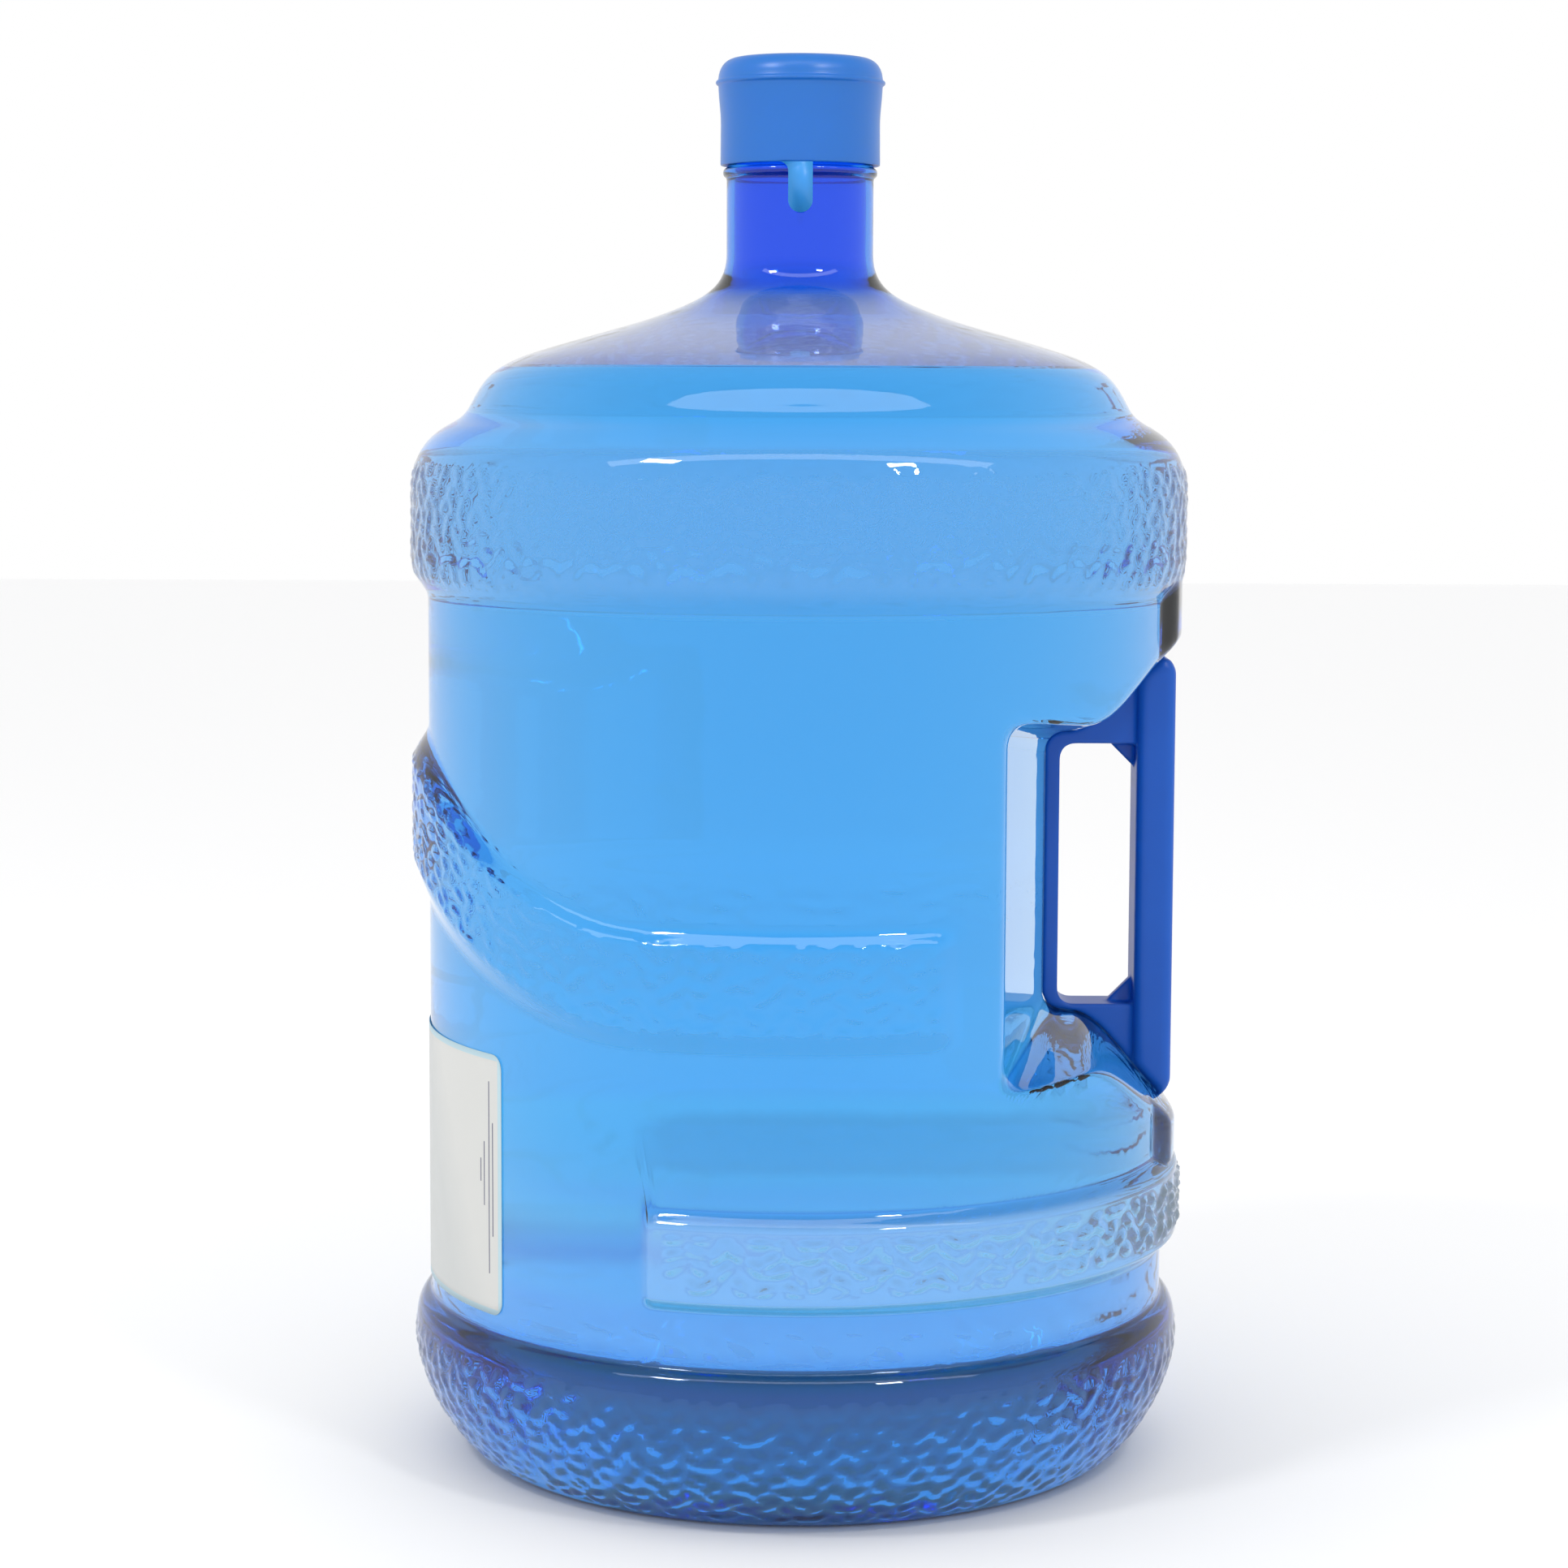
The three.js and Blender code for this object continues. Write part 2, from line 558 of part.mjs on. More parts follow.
// The arms and post: the recess's outline with a gap to it, cut off flush with the bar's inside.
function armFrame() {
  const blank = plateAcross(recessOutline(-CLEARANCE), ARM_WIDTH);
  const inside = [
    [RECESS_X - 1, GRIP_BOTTOM],
    [RECESS_X - 1, GRIP_TOP],
    [GRIP_OUTER_X - 2, GRIP_TOP],
    [GRIP_OUTER_X - 2, GRIP_BOTTOM],
  ];
  const left = RECESS_X + POST_THICKNESS;
  const window = [
    [left, WINDOW_BOTTOM + WINDOW_CORNER],
    [left, WINDOW_TOP - WINDOW_CORNER],
    [left + WINDOW_CORNER * 0.3, WINDOW_TOP - WINDOW_CORNER * 0.3],
    [left + WINDOW_CORNER, WINDOW_TOP],
    [GRIP_INNER_X + 1, WINDOW_TOP],
    [GRIP_INNER_X + 1, WINDOW_BOTTOM],
    [left + WINDOW_CORNER, WINDOW_BOTTOM],
    [left + WINDOW_CORNER * 0.3, WINDOW_BOTTOM + WINDOW_CORNER * 0.3],
  ];
  const frame = blank.intersect(plateAcross(inside, 2 * ARM_WIDTH));
  return frame.subtract(plateAcross(window, 2 * ARM_WIDTH));
}

// The bar: a round-edged section drawn up the grip, with long tips that follow the recess.
function gripBar() {
  const [inner, outer, half] = [GRIP_INNER_X, GRIP_OUTER_X, GRIP_WIDTH / 2];
  const round = GRIP_ROUNDING;
  const section = new THREE.Shape();
  section.moveTo(inner + round, -half);
  section.absarc(outer - round, -half + round, round, -Math.PI / 2, 0);
  section.absarc(outer - round, half - round, round, 0, Math.PI / 2);
  section.absarc(inner + round, half - round, round, Math.PI / 2, Math.PI);
  section.absarc(inner + round, -half + round, round, Math.PI, 1.5 * Math.PI);
  const geometry = new THREE.ExtrudeGeometry(section, {
    depth: GRIP_LENGTH,
    bevelEnabled: false,
    curveSegments: 4,
  });
  geometry.translate(0, 0, GRIP_BOTTOM);
  const tips = [
    [inner - 1, GRIP_BOTTOM - 1],
    [inner - 1, GRIP_TOP + 1],
    [outer - 4, GRIP_TOP],
    [outer - 1.2, GRIP_TOP - 1.2],
    [outer + 0.1, GRIP_TOP - 5],
    [outer + 0.1, GRIP_BOTTOM + 9],
    [outer - 1.5, GRIP_BOTTOM + 3],
    [outer - 4, GRIP_BOTTOM],
  ];
  return solidOf(geometry)
    .intersect(plateAcross(recessOutline(-CLEARANCE), 2 * GRIP_WIDTH))
    .intersect(plateAcross(tips, 2 * GRIP_WIDTH));
}

function gusset(cornerZ, direction) {
  const inner = GRIP_INNER_X;
  return plateAcross(
    [
      [inner + 1, cornerZ + direction],
      [inner + 1, cornerZ - direction * GUSSET],
      [inner - GUSSET, cornerZ + direction],
    ],
    GUSSET_WIDTH,
  );
}

function handleInsert() {
  const grip = armFrame()
    .add(gripBar())
    .add(gusset(WINDOW_TOP, 1))
    .add(gusset(WINDOW_BOTTOM, -1));
  return geometryOf(grip);
}

// ---------------------------------------------------------------- the label

function label() {
  const bottom = BARREL_BOTTOM + LABEL_FOOT;
  const top = bottom + LABEL_HEIGHT;
  const inner = BARREL_RADIUS + CLEARANCE;
  const outer = inner + LABEL_THICKNESS;
  const end = radians(LABEL_HALF_ANGLE);
  const cornerAngle = LABEL_CORNER / inner;
  const angles = [0, 0.25, 0.6].map((share) => -end + share * cornerAngle);
  const middleSteps = 20;
  for (let i = 0; i <= middleSteps; i += 1) {
    angles.push(-end + cornerAngle + ((2 * end - 2 * cornerAngle) * i) / middleSteps);
  }
  [0.6, 0.25, 0].forEach((share) => angles.push(end - share * cornerAngle));
  const points = [];
  angles.forEach((angle) => {
    const fromEnd = Math.min((end - Math.abs(angle)) / cornerAngle, 1);
    const inset = LABEL_CORNER * (1 - Math.sqrt(1 - (1 - fromEnd) ** 2));
    const [cos, sin] = [Math.cos(Math.PI + angle), Math.sin(Math.PI + angle)];
    points.push([inner * cos, inner * sin, bottom + inset]);
    points.push([outer * cos, outer * sin, bottom + inset]);
    points.push([outer * cos, outer * sin, top - inset]);
    points.push([inner * cos, inner * sin, top - inset]);
  });
  const triangles = [0, 1, 2, 0, 2, 3];
  for (let i = 0; i < angles.length - 1; i += 1) {
    for (let side = 0; side < 4; side += 1) {
      const a = 4 * i + side;
      const b = 4 * i + ((side + 1) % 4);
      triangles.push(a, a + 4, b + 4, a, b + 4, b);
    }
  }
  const e = 4 * (angles.length - 1);
  triangles.push(e, e + 2, e + 1, e, e + 3, e + 2);
  return geometryOf(outwardSolid(geometryFrom(points, triangles)));
}

// ---------------------------------------------------------------- the cap

const CAP_SEGMENTS = 48;

function turned(profile) {
  const points = profile.map(([r, z]) => new THREE.Vector2(r, z));
  const geometry = new THREE.LatheGeometry(points, CAP_SEGMENTS);
  geometry.rotateX(Math.PI / 2);
  return geometryOf(outwardSolid(mergeVertices(stripped(geometry), 1e-4)));
}

function stripped(geometry) {
  geometry.deleteAttribute('normal');
  geometry.deleteAttribute('uv');
  return geometry;
}

function capShell() {
  const top = CAP_TOP_Z;
  const rim = top - BEAD_DROP;
  const upper = SKIRT_RADIUS + CAP_FLARE;
  const round = CAP_TOP_ROUNDING;
  const inside = upper - CAP_WALL;
  const dome = new THREE.CubicBezierCurve(
    new THREE.Vector2(upper + 0.1, rim + 1.4),
    new THREE.Vector2(upper, top - round * 0.4),
    new THREE.Vector2(upper - round * 0.5, top),
    new THREE.Vector2(upper - round, top),
  );
  return turned([
    [0, top - 0.4],
    ...dome.getPoints(5).reverse().map((point) => [point.x, point.y]),
    [upper + BEAD_STAND_OUT, rim + 0.8],
    [upper + BEAD_STAND_OUT, rim],
    [upper, rim - 0.6],
    [upper - 0.3, rim - 6],
    [SKIRT_RADIUS, rim - 13],
    [SKIRT_RADIUS, SKIRT_BOTTOM_Z],
    [CAP_INNER_RADIUS, SKIRT_BOTTOM_Z],
    [CAP_INNER_RADIUS, rim - 13],
    [inside, rim - 6],
    [inside, top - round * 0.6],
    [inside - 3.5, top - CAP_TOP_WALL - 0.4],
    [0, top - CAP_TOP_WALL - 0.4],
  ]);
}

function capLiner() {
  const bottom = LIP_Z + CLEARANCE;
  const radius = CAP_INNER_RADIUS - CLEARANCE;
  return turned([
    [0, bottom],
    [radius, bottom],
    [radius, bottom + LINER_THICKNESS],
    [0, bottom + LINER_THICKNESS],
  ]);
}

// The tab hangs in front of the neck flange. Its outline is drawn facing -Y, root at the top.
function pullTab() {
  const half = TAB_WIDTH / 2;
  const root = 3.2; // fillet beside the root
  const shape = new THREE.Shape();
  shape.moveTo(half, 0);
  shape.lineTo(-half - root, 0);
  shape.quadraticCurveTo(-half, -0.2 * root, -half, -root);
  shape.lineTo(-half, -TAB_LENGTH + half);
  shape.absarc(0, -TAB_LENGTH + half, half, Math.PI, 2 * Math.PI, false);
  shape.lineTo(half, 0);
  const geometry = new THREE.ExtrudeGeometry(shape, {
    depth: TAB_THICKNESS,
    bevelEnabled: false,
    curveSegments: 8,
  });
  geometry.rotateX(Math.PI / 2);
  const face = NECK_RADIUS + FLANGE_STAND_OUT + CLEARANCE;
  geometry.translate(0, -face, SKIRT_BOTTOM_Z - CLEARANCE);
  return geometryOf(solidOf(geometry));
}

// ---------------------------------------------------------------- assembly

const jug = new THREE.Group();

function addNode(name, geometry, look) {
  const material = new THREE.MeshStandardMaterial({ metalness: 0, ...look });
  const mesh = new THREE.Mesh(geometry, material);
  mesh.name = name;
  jug.add(mesh);
}

addNode('jug_body', jugBody(), { color: 0x4aa0ee, roughness: 0.12, transparent: true, opacity: 0.55 });
addNode('handle_insert', handleInsert(), { color: 0x1c57c0, roughness: 0.35 });
addNode('water_fill', waterFill(), { color: 0x8cc8f5, roughness: 0.02, transparent: true, opacity: 0.4 });
addNode('label', label(), { color: 0xe4e5e2, roughness: 0.45 });
addNode('cap_shell', capShell(), { color: 0x428ce4, roughness: 0.3, transparent: true, opacity: 0.9 });
addNode('cap_liner', capLiner(), { color: 0xf0f0ec, roughness: 0.8 });
addNode('pull_tab', pullTab(), { color: 0x4a98ee, roughness: 0.3, transparent: true, opacity: 0.9 });

export default jug;
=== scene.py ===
"""A full five-gallon water-cooler jug: tinted shell, water, grip, label, push-on cap, liner and pull tab.

The grip is on +X, the label on -X and the pull tab on -Y. Shapes are worked out in millimetres, and
become metres when a mesh is made.
"""

import math

import bmesh
import bpy
import numpy as np
from mathutils import Matrix, Vector


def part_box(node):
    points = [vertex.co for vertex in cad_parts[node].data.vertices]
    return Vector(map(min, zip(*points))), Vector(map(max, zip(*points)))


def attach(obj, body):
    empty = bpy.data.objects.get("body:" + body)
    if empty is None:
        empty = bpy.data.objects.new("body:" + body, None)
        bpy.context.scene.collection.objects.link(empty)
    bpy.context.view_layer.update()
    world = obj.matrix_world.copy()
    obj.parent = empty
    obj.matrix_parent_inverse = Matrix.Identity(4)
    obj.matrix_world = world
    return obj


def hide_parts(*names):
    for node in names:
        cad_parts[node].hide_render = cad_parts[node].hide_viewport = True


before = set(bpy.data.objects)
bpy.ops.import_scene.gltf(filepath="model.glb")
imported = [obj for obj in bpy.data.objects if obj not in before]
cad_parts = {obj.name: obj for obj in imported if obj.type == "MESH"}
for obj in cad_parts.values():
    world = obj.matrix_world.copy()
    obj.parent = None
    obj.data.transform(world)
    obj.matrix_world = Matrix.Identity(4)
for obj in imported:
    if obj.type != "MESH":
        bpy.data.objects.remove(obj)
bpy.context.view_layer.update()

MM = 0.001


def box_mm(node):
    low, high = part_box(node)
    return np.array(low) / MM, np.array(high) / MM


# ---- sizes, in millimetres

body_low, body_high = box_mm("jug_body")
water_high = box_mm("water_fill")[1]
grip_low, grip_high = box_mm("handle_insert")
label_low, label_high = box_mm("label")
cap_low, cap_high = box_mm("cap_shell")
liner_low, liner_high = box_mm("cap_liner")
tab_low, tab_high = box_mm("pull_tab")

BAND_RADIUS = -body_low[0]
LIP_Z = body_high[2]
WATER_Z = water_high[2]

# heights
BULGE_Z = 43.0  # widest line of the base band
BASE_TOP = 57.0
BARREL_TOP = 304.0
BAND_FOOT = 318.0  # top band at its full radius
BAND_HEAD = 340.0
GROOVE_Z = 365.5
NECK_FOOT = 415.5

# radii and walls
BARREL_RADIUS = BAND_RADIUS - 5.5
NECK_RADIUS = 25.7
BORE_RADIUS = 23.1
WALL = 1.6
NECK_WALL = NECK_RADIUS - BORE_RADIUS
NECK_WALL_FOOT = 411.0  # where the wall starts to thicken
FOOT_RADIUS = 110.0
PUSH_UP = 14.0

# neck finish under the cap
FLANGE_RADIUS = 27.0
FLANGE_TOP = LIP_Z - 31.0
FLANGE_FOOT = LIP_Z - 33.5
SNAP_TOP = LIP_Z - 19.0
SNAP_RADIUS = 25.9
LIP_RADIUS = 25.4

SHELL_IOR = 1.52
WATER_IOR = 1.333

# arched rib over the label: heights at the front, and how far the arch lifts each
RIB_LOWER_FOOT, RIB_LOWER_FOOT_LIFT = 160.2, 37.3
RIB_LOWER_FACE, RIB_LOWER_FACE_LIFT = 170.0, 47.0
RIB_UPPER_FACE, RIB_UPPER_FACE_LIFT = 196.5, 50.5
RIB_UPPER_FOOT, RIB_UPPER_FOOT_LIFT = 203.6, 56.0
RIB_STAND_OUT = 5.5  # over the label
RIB_END_STAND_OUT = 3.6  # where the arch has come down
RIB_ARCH = 68.0  # degrees from the label's middle
RIB_END = 114.7
RIB_END_SLOPE = 5.5

# grained panel round the grip side
PANEL_FOOT, PANEL_FACE_LOW, PANEL_FACE_HIGH, PANEL_TOP = 75.5, 81.5, 104.0, 111.0
PANEL_STAND_OUT = 5.6  # under the grip
PANEL_END_STAND_OUT = 3.9
BACK_SOFTNESS = 2.0  # how much wider the edges' slopes are on the +Y half
BACK_END_SOFTNESS = 4.0
SOFT_STEP_TOP = 72.0  # base band's step down to the barrel, on the +Y half
SOFT_STEP_HEIGHT = 27.0
PANEL_END = 113.7  # degrees from the grip
PANEL_END_SLOPE = 3.2

# columns above and below the grip
COLUMN_STAND_OUT = 4.6
COLUMN_HALF_ANGLE = 18.5
COLUMN_SIDE_SLOPE = 5.0
COLUMN_END_SLOPE = 8.0
COLUMN_LOW_TOP = 140.0
COLUMN_HIGH_FOOT = 270.0

# hand recess
RECESS_DEPTH = 43.5
RECESS_X = BARREL_RADIUS - RECESS_DEPTH
RECESS_FLAT = 16.0  # half width of the wall's straight middle
RECESS_FLAT_ROUND = 5.0
RECESS_SIDE_DRAFT = 0.208
RECESS_END_DRAFT = 0.12
RECESS_CORNER = 9.0
RECESS_EDGE = 3.4
RECESS_CEILING = 257.3
RECESS_FLOOR = 157.2
RECESS_SIDE = 0.42  # cosine of an angle from the grip that the recess stays inside
NO_RECESS = 260.0  # a radius well outside the jug

# leaf-shaped grains moulded into the bands, the rib and the panel
GRAIN_LENGTH = 8.8
GRAIN_WIDTH = 3.7
GRAIN_HEIGHT = 0.72
GRAIN_PITCH = (8.4, 5.0)  # round the jug, and up it
GRAIN_LEAN = (0.2, 1.1)  # radians from level, one way or the other
GRAIN_SEED = 31
GRAIN_PIXEL = 0.4
GRAIN_MAP_HEIGHT = 215.0
# where each grained part starts in the map, measured up it
BAND_IN_MAP, RIB_IN_MAP, PANEL_IN_MAP = 85.0, 135.0, 180.0
BAND_GRAIN_FOOT = 308.0
BASE_GRAIN_START = 95.0  # length of the outline from the middle of the base
FOOT_START = 100.0  # and to the foot ring
# heights where an area starts and ends, each with the height of its fade
BASE_GRAIN = (1.5, 3.0, 48.5, 4.0)
BAND_GRAIN = (310.0, 3.0, 352.0, 5.0)
BAND_FROST_REACH = (306.0, 8.0, 366.0, 10.0)
PANEL_MARGIN = 1.6  # plain border round the panel's grain
PANEL_MARGIN_ANGLE = 1.8
PANEL_GRAIN_FADE = 1.5
PANEL_GRAIN = 2.3  # how much taller the panel's grains are
BACK_PANEL_GRAIN = 0.6  # and on the +Y half
PANEL_FROST = 0.24  # share of light that the grained faces scatter
BAND_FROST = 0.07
HAZE = 0.10  # scuffing low on the barrel
HAZE_REACH = (BASE_TOP - 2, 6.0, 138.0, 65.0)

COLUMNS = 560
BARREL_ROWS = 168
FINE_ROWS = 1100  # rows that the barrel's bends are measured on


# ---- curves and blends


def smooth(t):
    t = np.clip(t, 0.0, 1.0)
    return t * t * (3.0 - 2.0 * t)


def between(value, low, low_fade, high, high_fade):
    """1 from low to high, falling to 0 outside over each end's fade."""
    return smooth((value - low) / low_fade) * smooth((high - value) / high_fade)


def hump(distance, reach):
    """1 at no distance, falling to 0 at the reach."""
    return (1.0 + np.cos(np.pi * np.minimum(distance, reach) / reach)) / 2


def soft_min(a, b, reach):
    h = np.clip(0.5 + 0.5 * (b - a) / reach, 0.0, 1.0)
    return b + (a - b) * h - reach * h * (1.0 - h)


def soft_positive(t, reach):
    return (t + np.sqrt(t * t + reach * reach)) / 2.0


def bezier(p0, p1, p2, p3, steps):
    t = np.linspace(0.0, 1.0, steps + 1)[:, None]
    p0, p1, p2, p3 = (np.array(p, float) for p in (p0, p1, p2, p3))
    return (1 - t) ** 3 * p0 + 3 * (1 - t) ** 2 * t * p1 + 3 * (1 - t) * t * t * p2 + t**3 * p3


def straight(p0, p1, steps):
    return np.linspace(np.array(p0, float), np.array(p1, float), steps + 1)


def chain(*parts):
    """Curves that follow each other, as one list of points."""
    return np.vstack([parts[0]] + [part[1:] for part in parts[1:]])


# ---- meshes


def mesh_object(name, points, faces):
    """A smooth-shaded object from points in millimetres."""
    mesh = bpy.data.meshes.new(name)
    mesh.from_pydata((np.asarray(points, float) * MM).tolist(), [], faces)
    mesh.validate()
    mesh.shade_smooth()
    thing = bpy.data.objects.new(name, mesh)
    bpy.context.scene.collection.objects.link(thing)
    return thing


def ring_faces(first, rows, count, flip=False):
    """Quads over rows of points that each close on themselves. Point (row, i) is first + row*count + i."""
    row, i = np.meshgrid(np.arange(rows - 1), np.arange(count), indexing="ij")
    a = first + row * count + i
    b = first + row * count + (i + 1) % count
    quads = np.stack([a, b, b + count, a + count], -1).reshape(-1, 4)
    return (quads[:, ::-1] if flip else quads).tolist()


def fan(centre, first, count, flip=False):
    """Triangles from one point to a ring. Unflipped, they face down on a ring that runs anticlockwise."""
    faces = []
    for i in range(count):
        a, b = first + i, first + (i + 1) % count
        faces.append((centre, a, b) if flip else (centre, b, a))
    return faces


def turned(name, profile, segments):
    """An outline of (radius, height) points, turned about the Z axis. It starts and ends on the axis."""
    rings = profile[1:-1]
    angle = np.arange(segments) * 2 * math.pi / segments
    points = [(r * math.cos(a), r * math.sin(a), z) for r, z in rings for a in angle]
    start, end = len(points), len(points) + 1
    points += [(0, 0, profile[0][1]), (0, 0, profile[-1][1])]
    faces = ring_faces(0, len(rings), segments)
    faces += fan(start, 0, segments)
    faces += fan(end, (len(rings) - 1) * segments, segments, flip=True)
    return mesh_object(name, points, faces)


# ---- the jug's skin


def lower_rows():
    """Radius and height from near the middle of the base out to the widest line of the base band."""
    dome = bezier((8, PUSH_UP), (70, PUSH_UP), (90, 12), (97, 2), 16)
    heel = bezier((97, 2), (98.3, 0), (100, 0), (103, 0), 4)
    foot = straight((103, 0), (FOOT_RADIUS, 0), 3)
    bulge = bezier(
        (FOOT_RADIUS, 0), (FOOT_RADIUS + 9, 1.5), (BAND_RADIUS, 23.7), (BAND_RADIUS, BULGE_Z), 38
    )
    return chain(dome, heel, foot, bulge)


def barrel_radius(z):
    """The plain radius between the two bands' widest lines."""
    base = bezier(
        (BAND_RADIUS, BULGE_Z), (BAND_RADIUS + 0.4, 51), (134.8, 55.6), (BARREL_RADIUS, BASE_TOP), 60
    )
    step = bezier(
        (BARREL_RADIUS, BARREL_TOP - 1), (BARREL_RADIUS, 308), (135.8, 308.5), (BAND_RADIUS, BAND_FOOT), 60
    )
    outline = np.vstack([base, step])
    return np.interp(z, outline[:, 1], outline[:, 0])


def upper_rows():
    """From the top band at its full radius, over the shoulder and neck, to the lip."""
    band = straight((BAND_RADIUS, BAND_FOOT), (BAND_RADIUS, BAND_HEAD), 15)
    rounding = bezier((BAND_RADIUS, BAND_HEAD), (136, 352), (132, 359), (122, GROOVE_Z - 1.3), 26)
    groove = bezier((122, GROOVE_Z - 1.3), (117, 366.9), (116.2, 369), (114.6, 372), 10)
    knee = bezier((114.6, 372), (111, 378.5), (108.5, 384), (92, 389.2), 18)
    shoulder = bezier((92, 389.2), (75, 394.6), (58, 398.6), (48, 402.4), 16)
    fillet = bezier((48, 402.4), (34, 407.7), (NECK_RADIUS, 411.5), (NECK_RADIUS, NECK_FOOT + 8), 20)
    neck = straight((NECK_RADIUS, NECK_FOOT + 8), (NECK_RADIUS, FLANGE_FOOT - 2), 10)
    flange = bezier(
        (NECK_RADIUS, FLANGE_FOOT - 2), (NECK_RADIUS, FLANGE_FOOT),
        (FLANGE_RADIUS, FLANGE_FOOT - 1), (FLANGE_RADIUS, FLANGE_FOOT + 1), 6,
    )
    over = bezier(
        (FLANGE_RADIUS, FLANGE_FOOT + 1), (FLANGE_RADIUS, FLANGE_TOP + 0.3),
        (LIP_RADIUS + 0.2, FLANGE_TOP - 0.3), (LIP_RADIUS, FLANGE_TOP + 1), 6,
    )
    snap = chain(
        straight((LIP_RADIUS, FLANGE_TOP + 1), (LIP_RADIUS, SNAP_TOP - 3), 3),
        straight((LIP_RADIUS, SNAP_TOP - 3), (SNAP_RADIUS, SNAP_TOP - 1.5), 2),
        straight((SNAP_RADIUS, SNAP_TOP - 1.5), (SNAP_RADIUS, SNAP_TOP), 1),
        straight((SNAP_RADIUS, SNAP_TOP), (LIP_RADIUS, SNAP_TOP + 1.5), 2),
        straight((LIP_RADIUS, SNAP_TOP + 1.5), (LIP_RADIUS, LIP_Z - 1.2), 5),
    )
    lip = bezier(
        (LIP_RADIUS, LIP_Z - 1.2), (LIP_RADIUS, LIP_Z - 0.3), (LIP_RADIUS - 0.5, LIP_Z), (24.3, LIP_Z), 4
    )
    return chain(band, rounding, groove, knee, shoulder, fillet, neck, flange, over, snap, lip)


def from_grip(angle):
    """Degrees from the middle of the grip side, 0 to 180."""
    turn = np.degrees(angle) % 360.0
    return np.minimum(turn, 360.0 - turn)


def back_share(angle):
    """0 on the -Y half, rising to 1 over the +Y half."""
    return smooth(np.sin(angle) * 1.6)


def rib_edges(angle):
    """Heights of the rib's lower foot, lower face edge, upper face edge and upper foot."""
    arch = hump(180.0 - from_grip(angle), RIB_ARCH)
    low = RIB_LOWER_FOOT + RIB_LOWER_FOOT_LIFT * arch
    low_face = RIB_LOWER_FACE + RIB_LOWER_FACE_LIFT * arch
    high_face = RIB_UPPER_FACE + RIB_UPPER_FACE_LIFT * arch
    high = RIB_UPPER_FOOT + RIB_UPPER_FOOT_LIFT * arch
    spread = BACK_SOFTNESS * back_share(angle) / 2
    lower, upper = spread * (low_face - low), spread * (high - high_face)
    return low - lower, low_face + lower, high_face - upper, high + upper


def rib_cover(angle, z):
    """1 on the rib's face, 0 off the rib."""
    low, low_face, high_face, high = rib_edges(angle)
    end = smooth((RIB_END - (180.0 - from_grip(angle))) / RIB_END_SLOPE)
    return between(z, low, low_face - low, high, high - high_face) * end


def panel_cover(angle, z):
    end_slope = PANEL_END_SLOPE * (1 + BACK_END_SOFTNESS * back_share(angle))
    end = smooth((PANEL_END - from_grip(angle)) / end_slope)
    spread = BACK_SOFTNESS * back_share(angle) / 2
    lower = spread * (PANEL_FACE_LOW - PANEL_FOOT)
    upper = spread * (PANEL_TOP - PANEL_FACE_HIGH)
    low_fade = PANEL_FACE_LOW - PANEL_FOOT + 2 * lower
    high_fade = PANEL_TOP - PANEL_FACE_HIGH + 2 * upper
    return between(z, PANEL_FOOT - lower, low_fade, PANEL_TOP + upper, high_fade) * end


def column_cover(angle, z):
    side = smooth((COLUMN_HALF_ANGLE - from_grip(angle)) / COLUMN_SIDE_SLOPE)
    lower = between(z, PANEL_FACE_HIGH, 4.0, COLUMN_LOW_TOP, COLUMN_END_SLOPE)
    upper = smooth((z - COLUMN_HIGH_FOOT) / COLUMN_END_SLOPE)
    return side * np.maximum(lower, upper)


def plain_skin(angle, z):
    """The skin's radius before the hand recess is pushed in."""
    radius = barrel_radius(z)
    gentle = BARREL_RADIUS + (BAND_RADIUS - BARREL_RADIUS) * smooth((SOFT_STEP_TOP - z) / SOFT_STEP_HEIGHT)
    radius = np.where(z < SOFT_STEP_TOP, radius + (gentle - radius) * back_share(angle), radius)
    turn = from_grip(angle)
    rib_height = RIB_END_STAND_OUT + (RIB_STAND_OUT - RIB_END_STAND_OUT) * hump(180.0 - turn, RIB_ARCH)
    panel_height = PANEL_END_STAND_OUT + (PANEL_STAND_OUT - PANEL_END_STAND_OUT) * hump(turn, PANEL_END)
    rib = BARREL_RADIUS + rib_height * rib_cover(angle, z)
    panel = BARREL_RADIUS + panel_height * panel_cover(angle, z)
    column = BARREL_RADIUS + COLUMN_STAND_OUT * column_cover(angle, z)
    return np.maximum(np.maximum(radius, rib), np.maximum(panel, column))


# the recess's ceiling and floor in the XZ plane, from its wall out to its mouth
CEILING = bezier(
    (RECESS_X + 9, RECESS_CEILING), (RECESS_X + 22, RECESS_CEILING + 1.5),
    (BAND_RADIUS - 20, RECESS_CEILING + 19), (BAND_RADIUS, RECESS_CEILING + 34), 30,
)
FLOOR = bezier(
    (RECESS_X + 9, RECESS_FLOOR), (RECESS_X + 22, RECESS_FLOOR),
    (BAND_RADIUS - 20, RECESS_FLOOR - 19), (BAND_RADIUS, RECESS_FLOOR - 36), 30,
)


def recess_depth(x, y, z):
    """How far a point is inside the hand recess. It is negative in the jug."""
    beyond = soft_positive(np.abs(y) - RECESS_FLAT, RECESS_FLAT_ROUND)
    wall = x - RECESS_X + beyond * RECESS_SIDE_DRAFT
    above = np.maximum(x - BAND_RADIUS, 0.0)
    ceiling = np.interp(x, CEILING[:, 0], CEILING[:, 1]) + above + beyond * RECESS_END_DRAFT - z
    floor = z - np.interp(x, FLOOR[:, 0], FLOOR[:, 1]) + above + beyond * RECESS_END_DRAFT
    return soft_min(soft_min(wall, ceiling, RECESS_CORNER), floor, RECESS_CORNER)


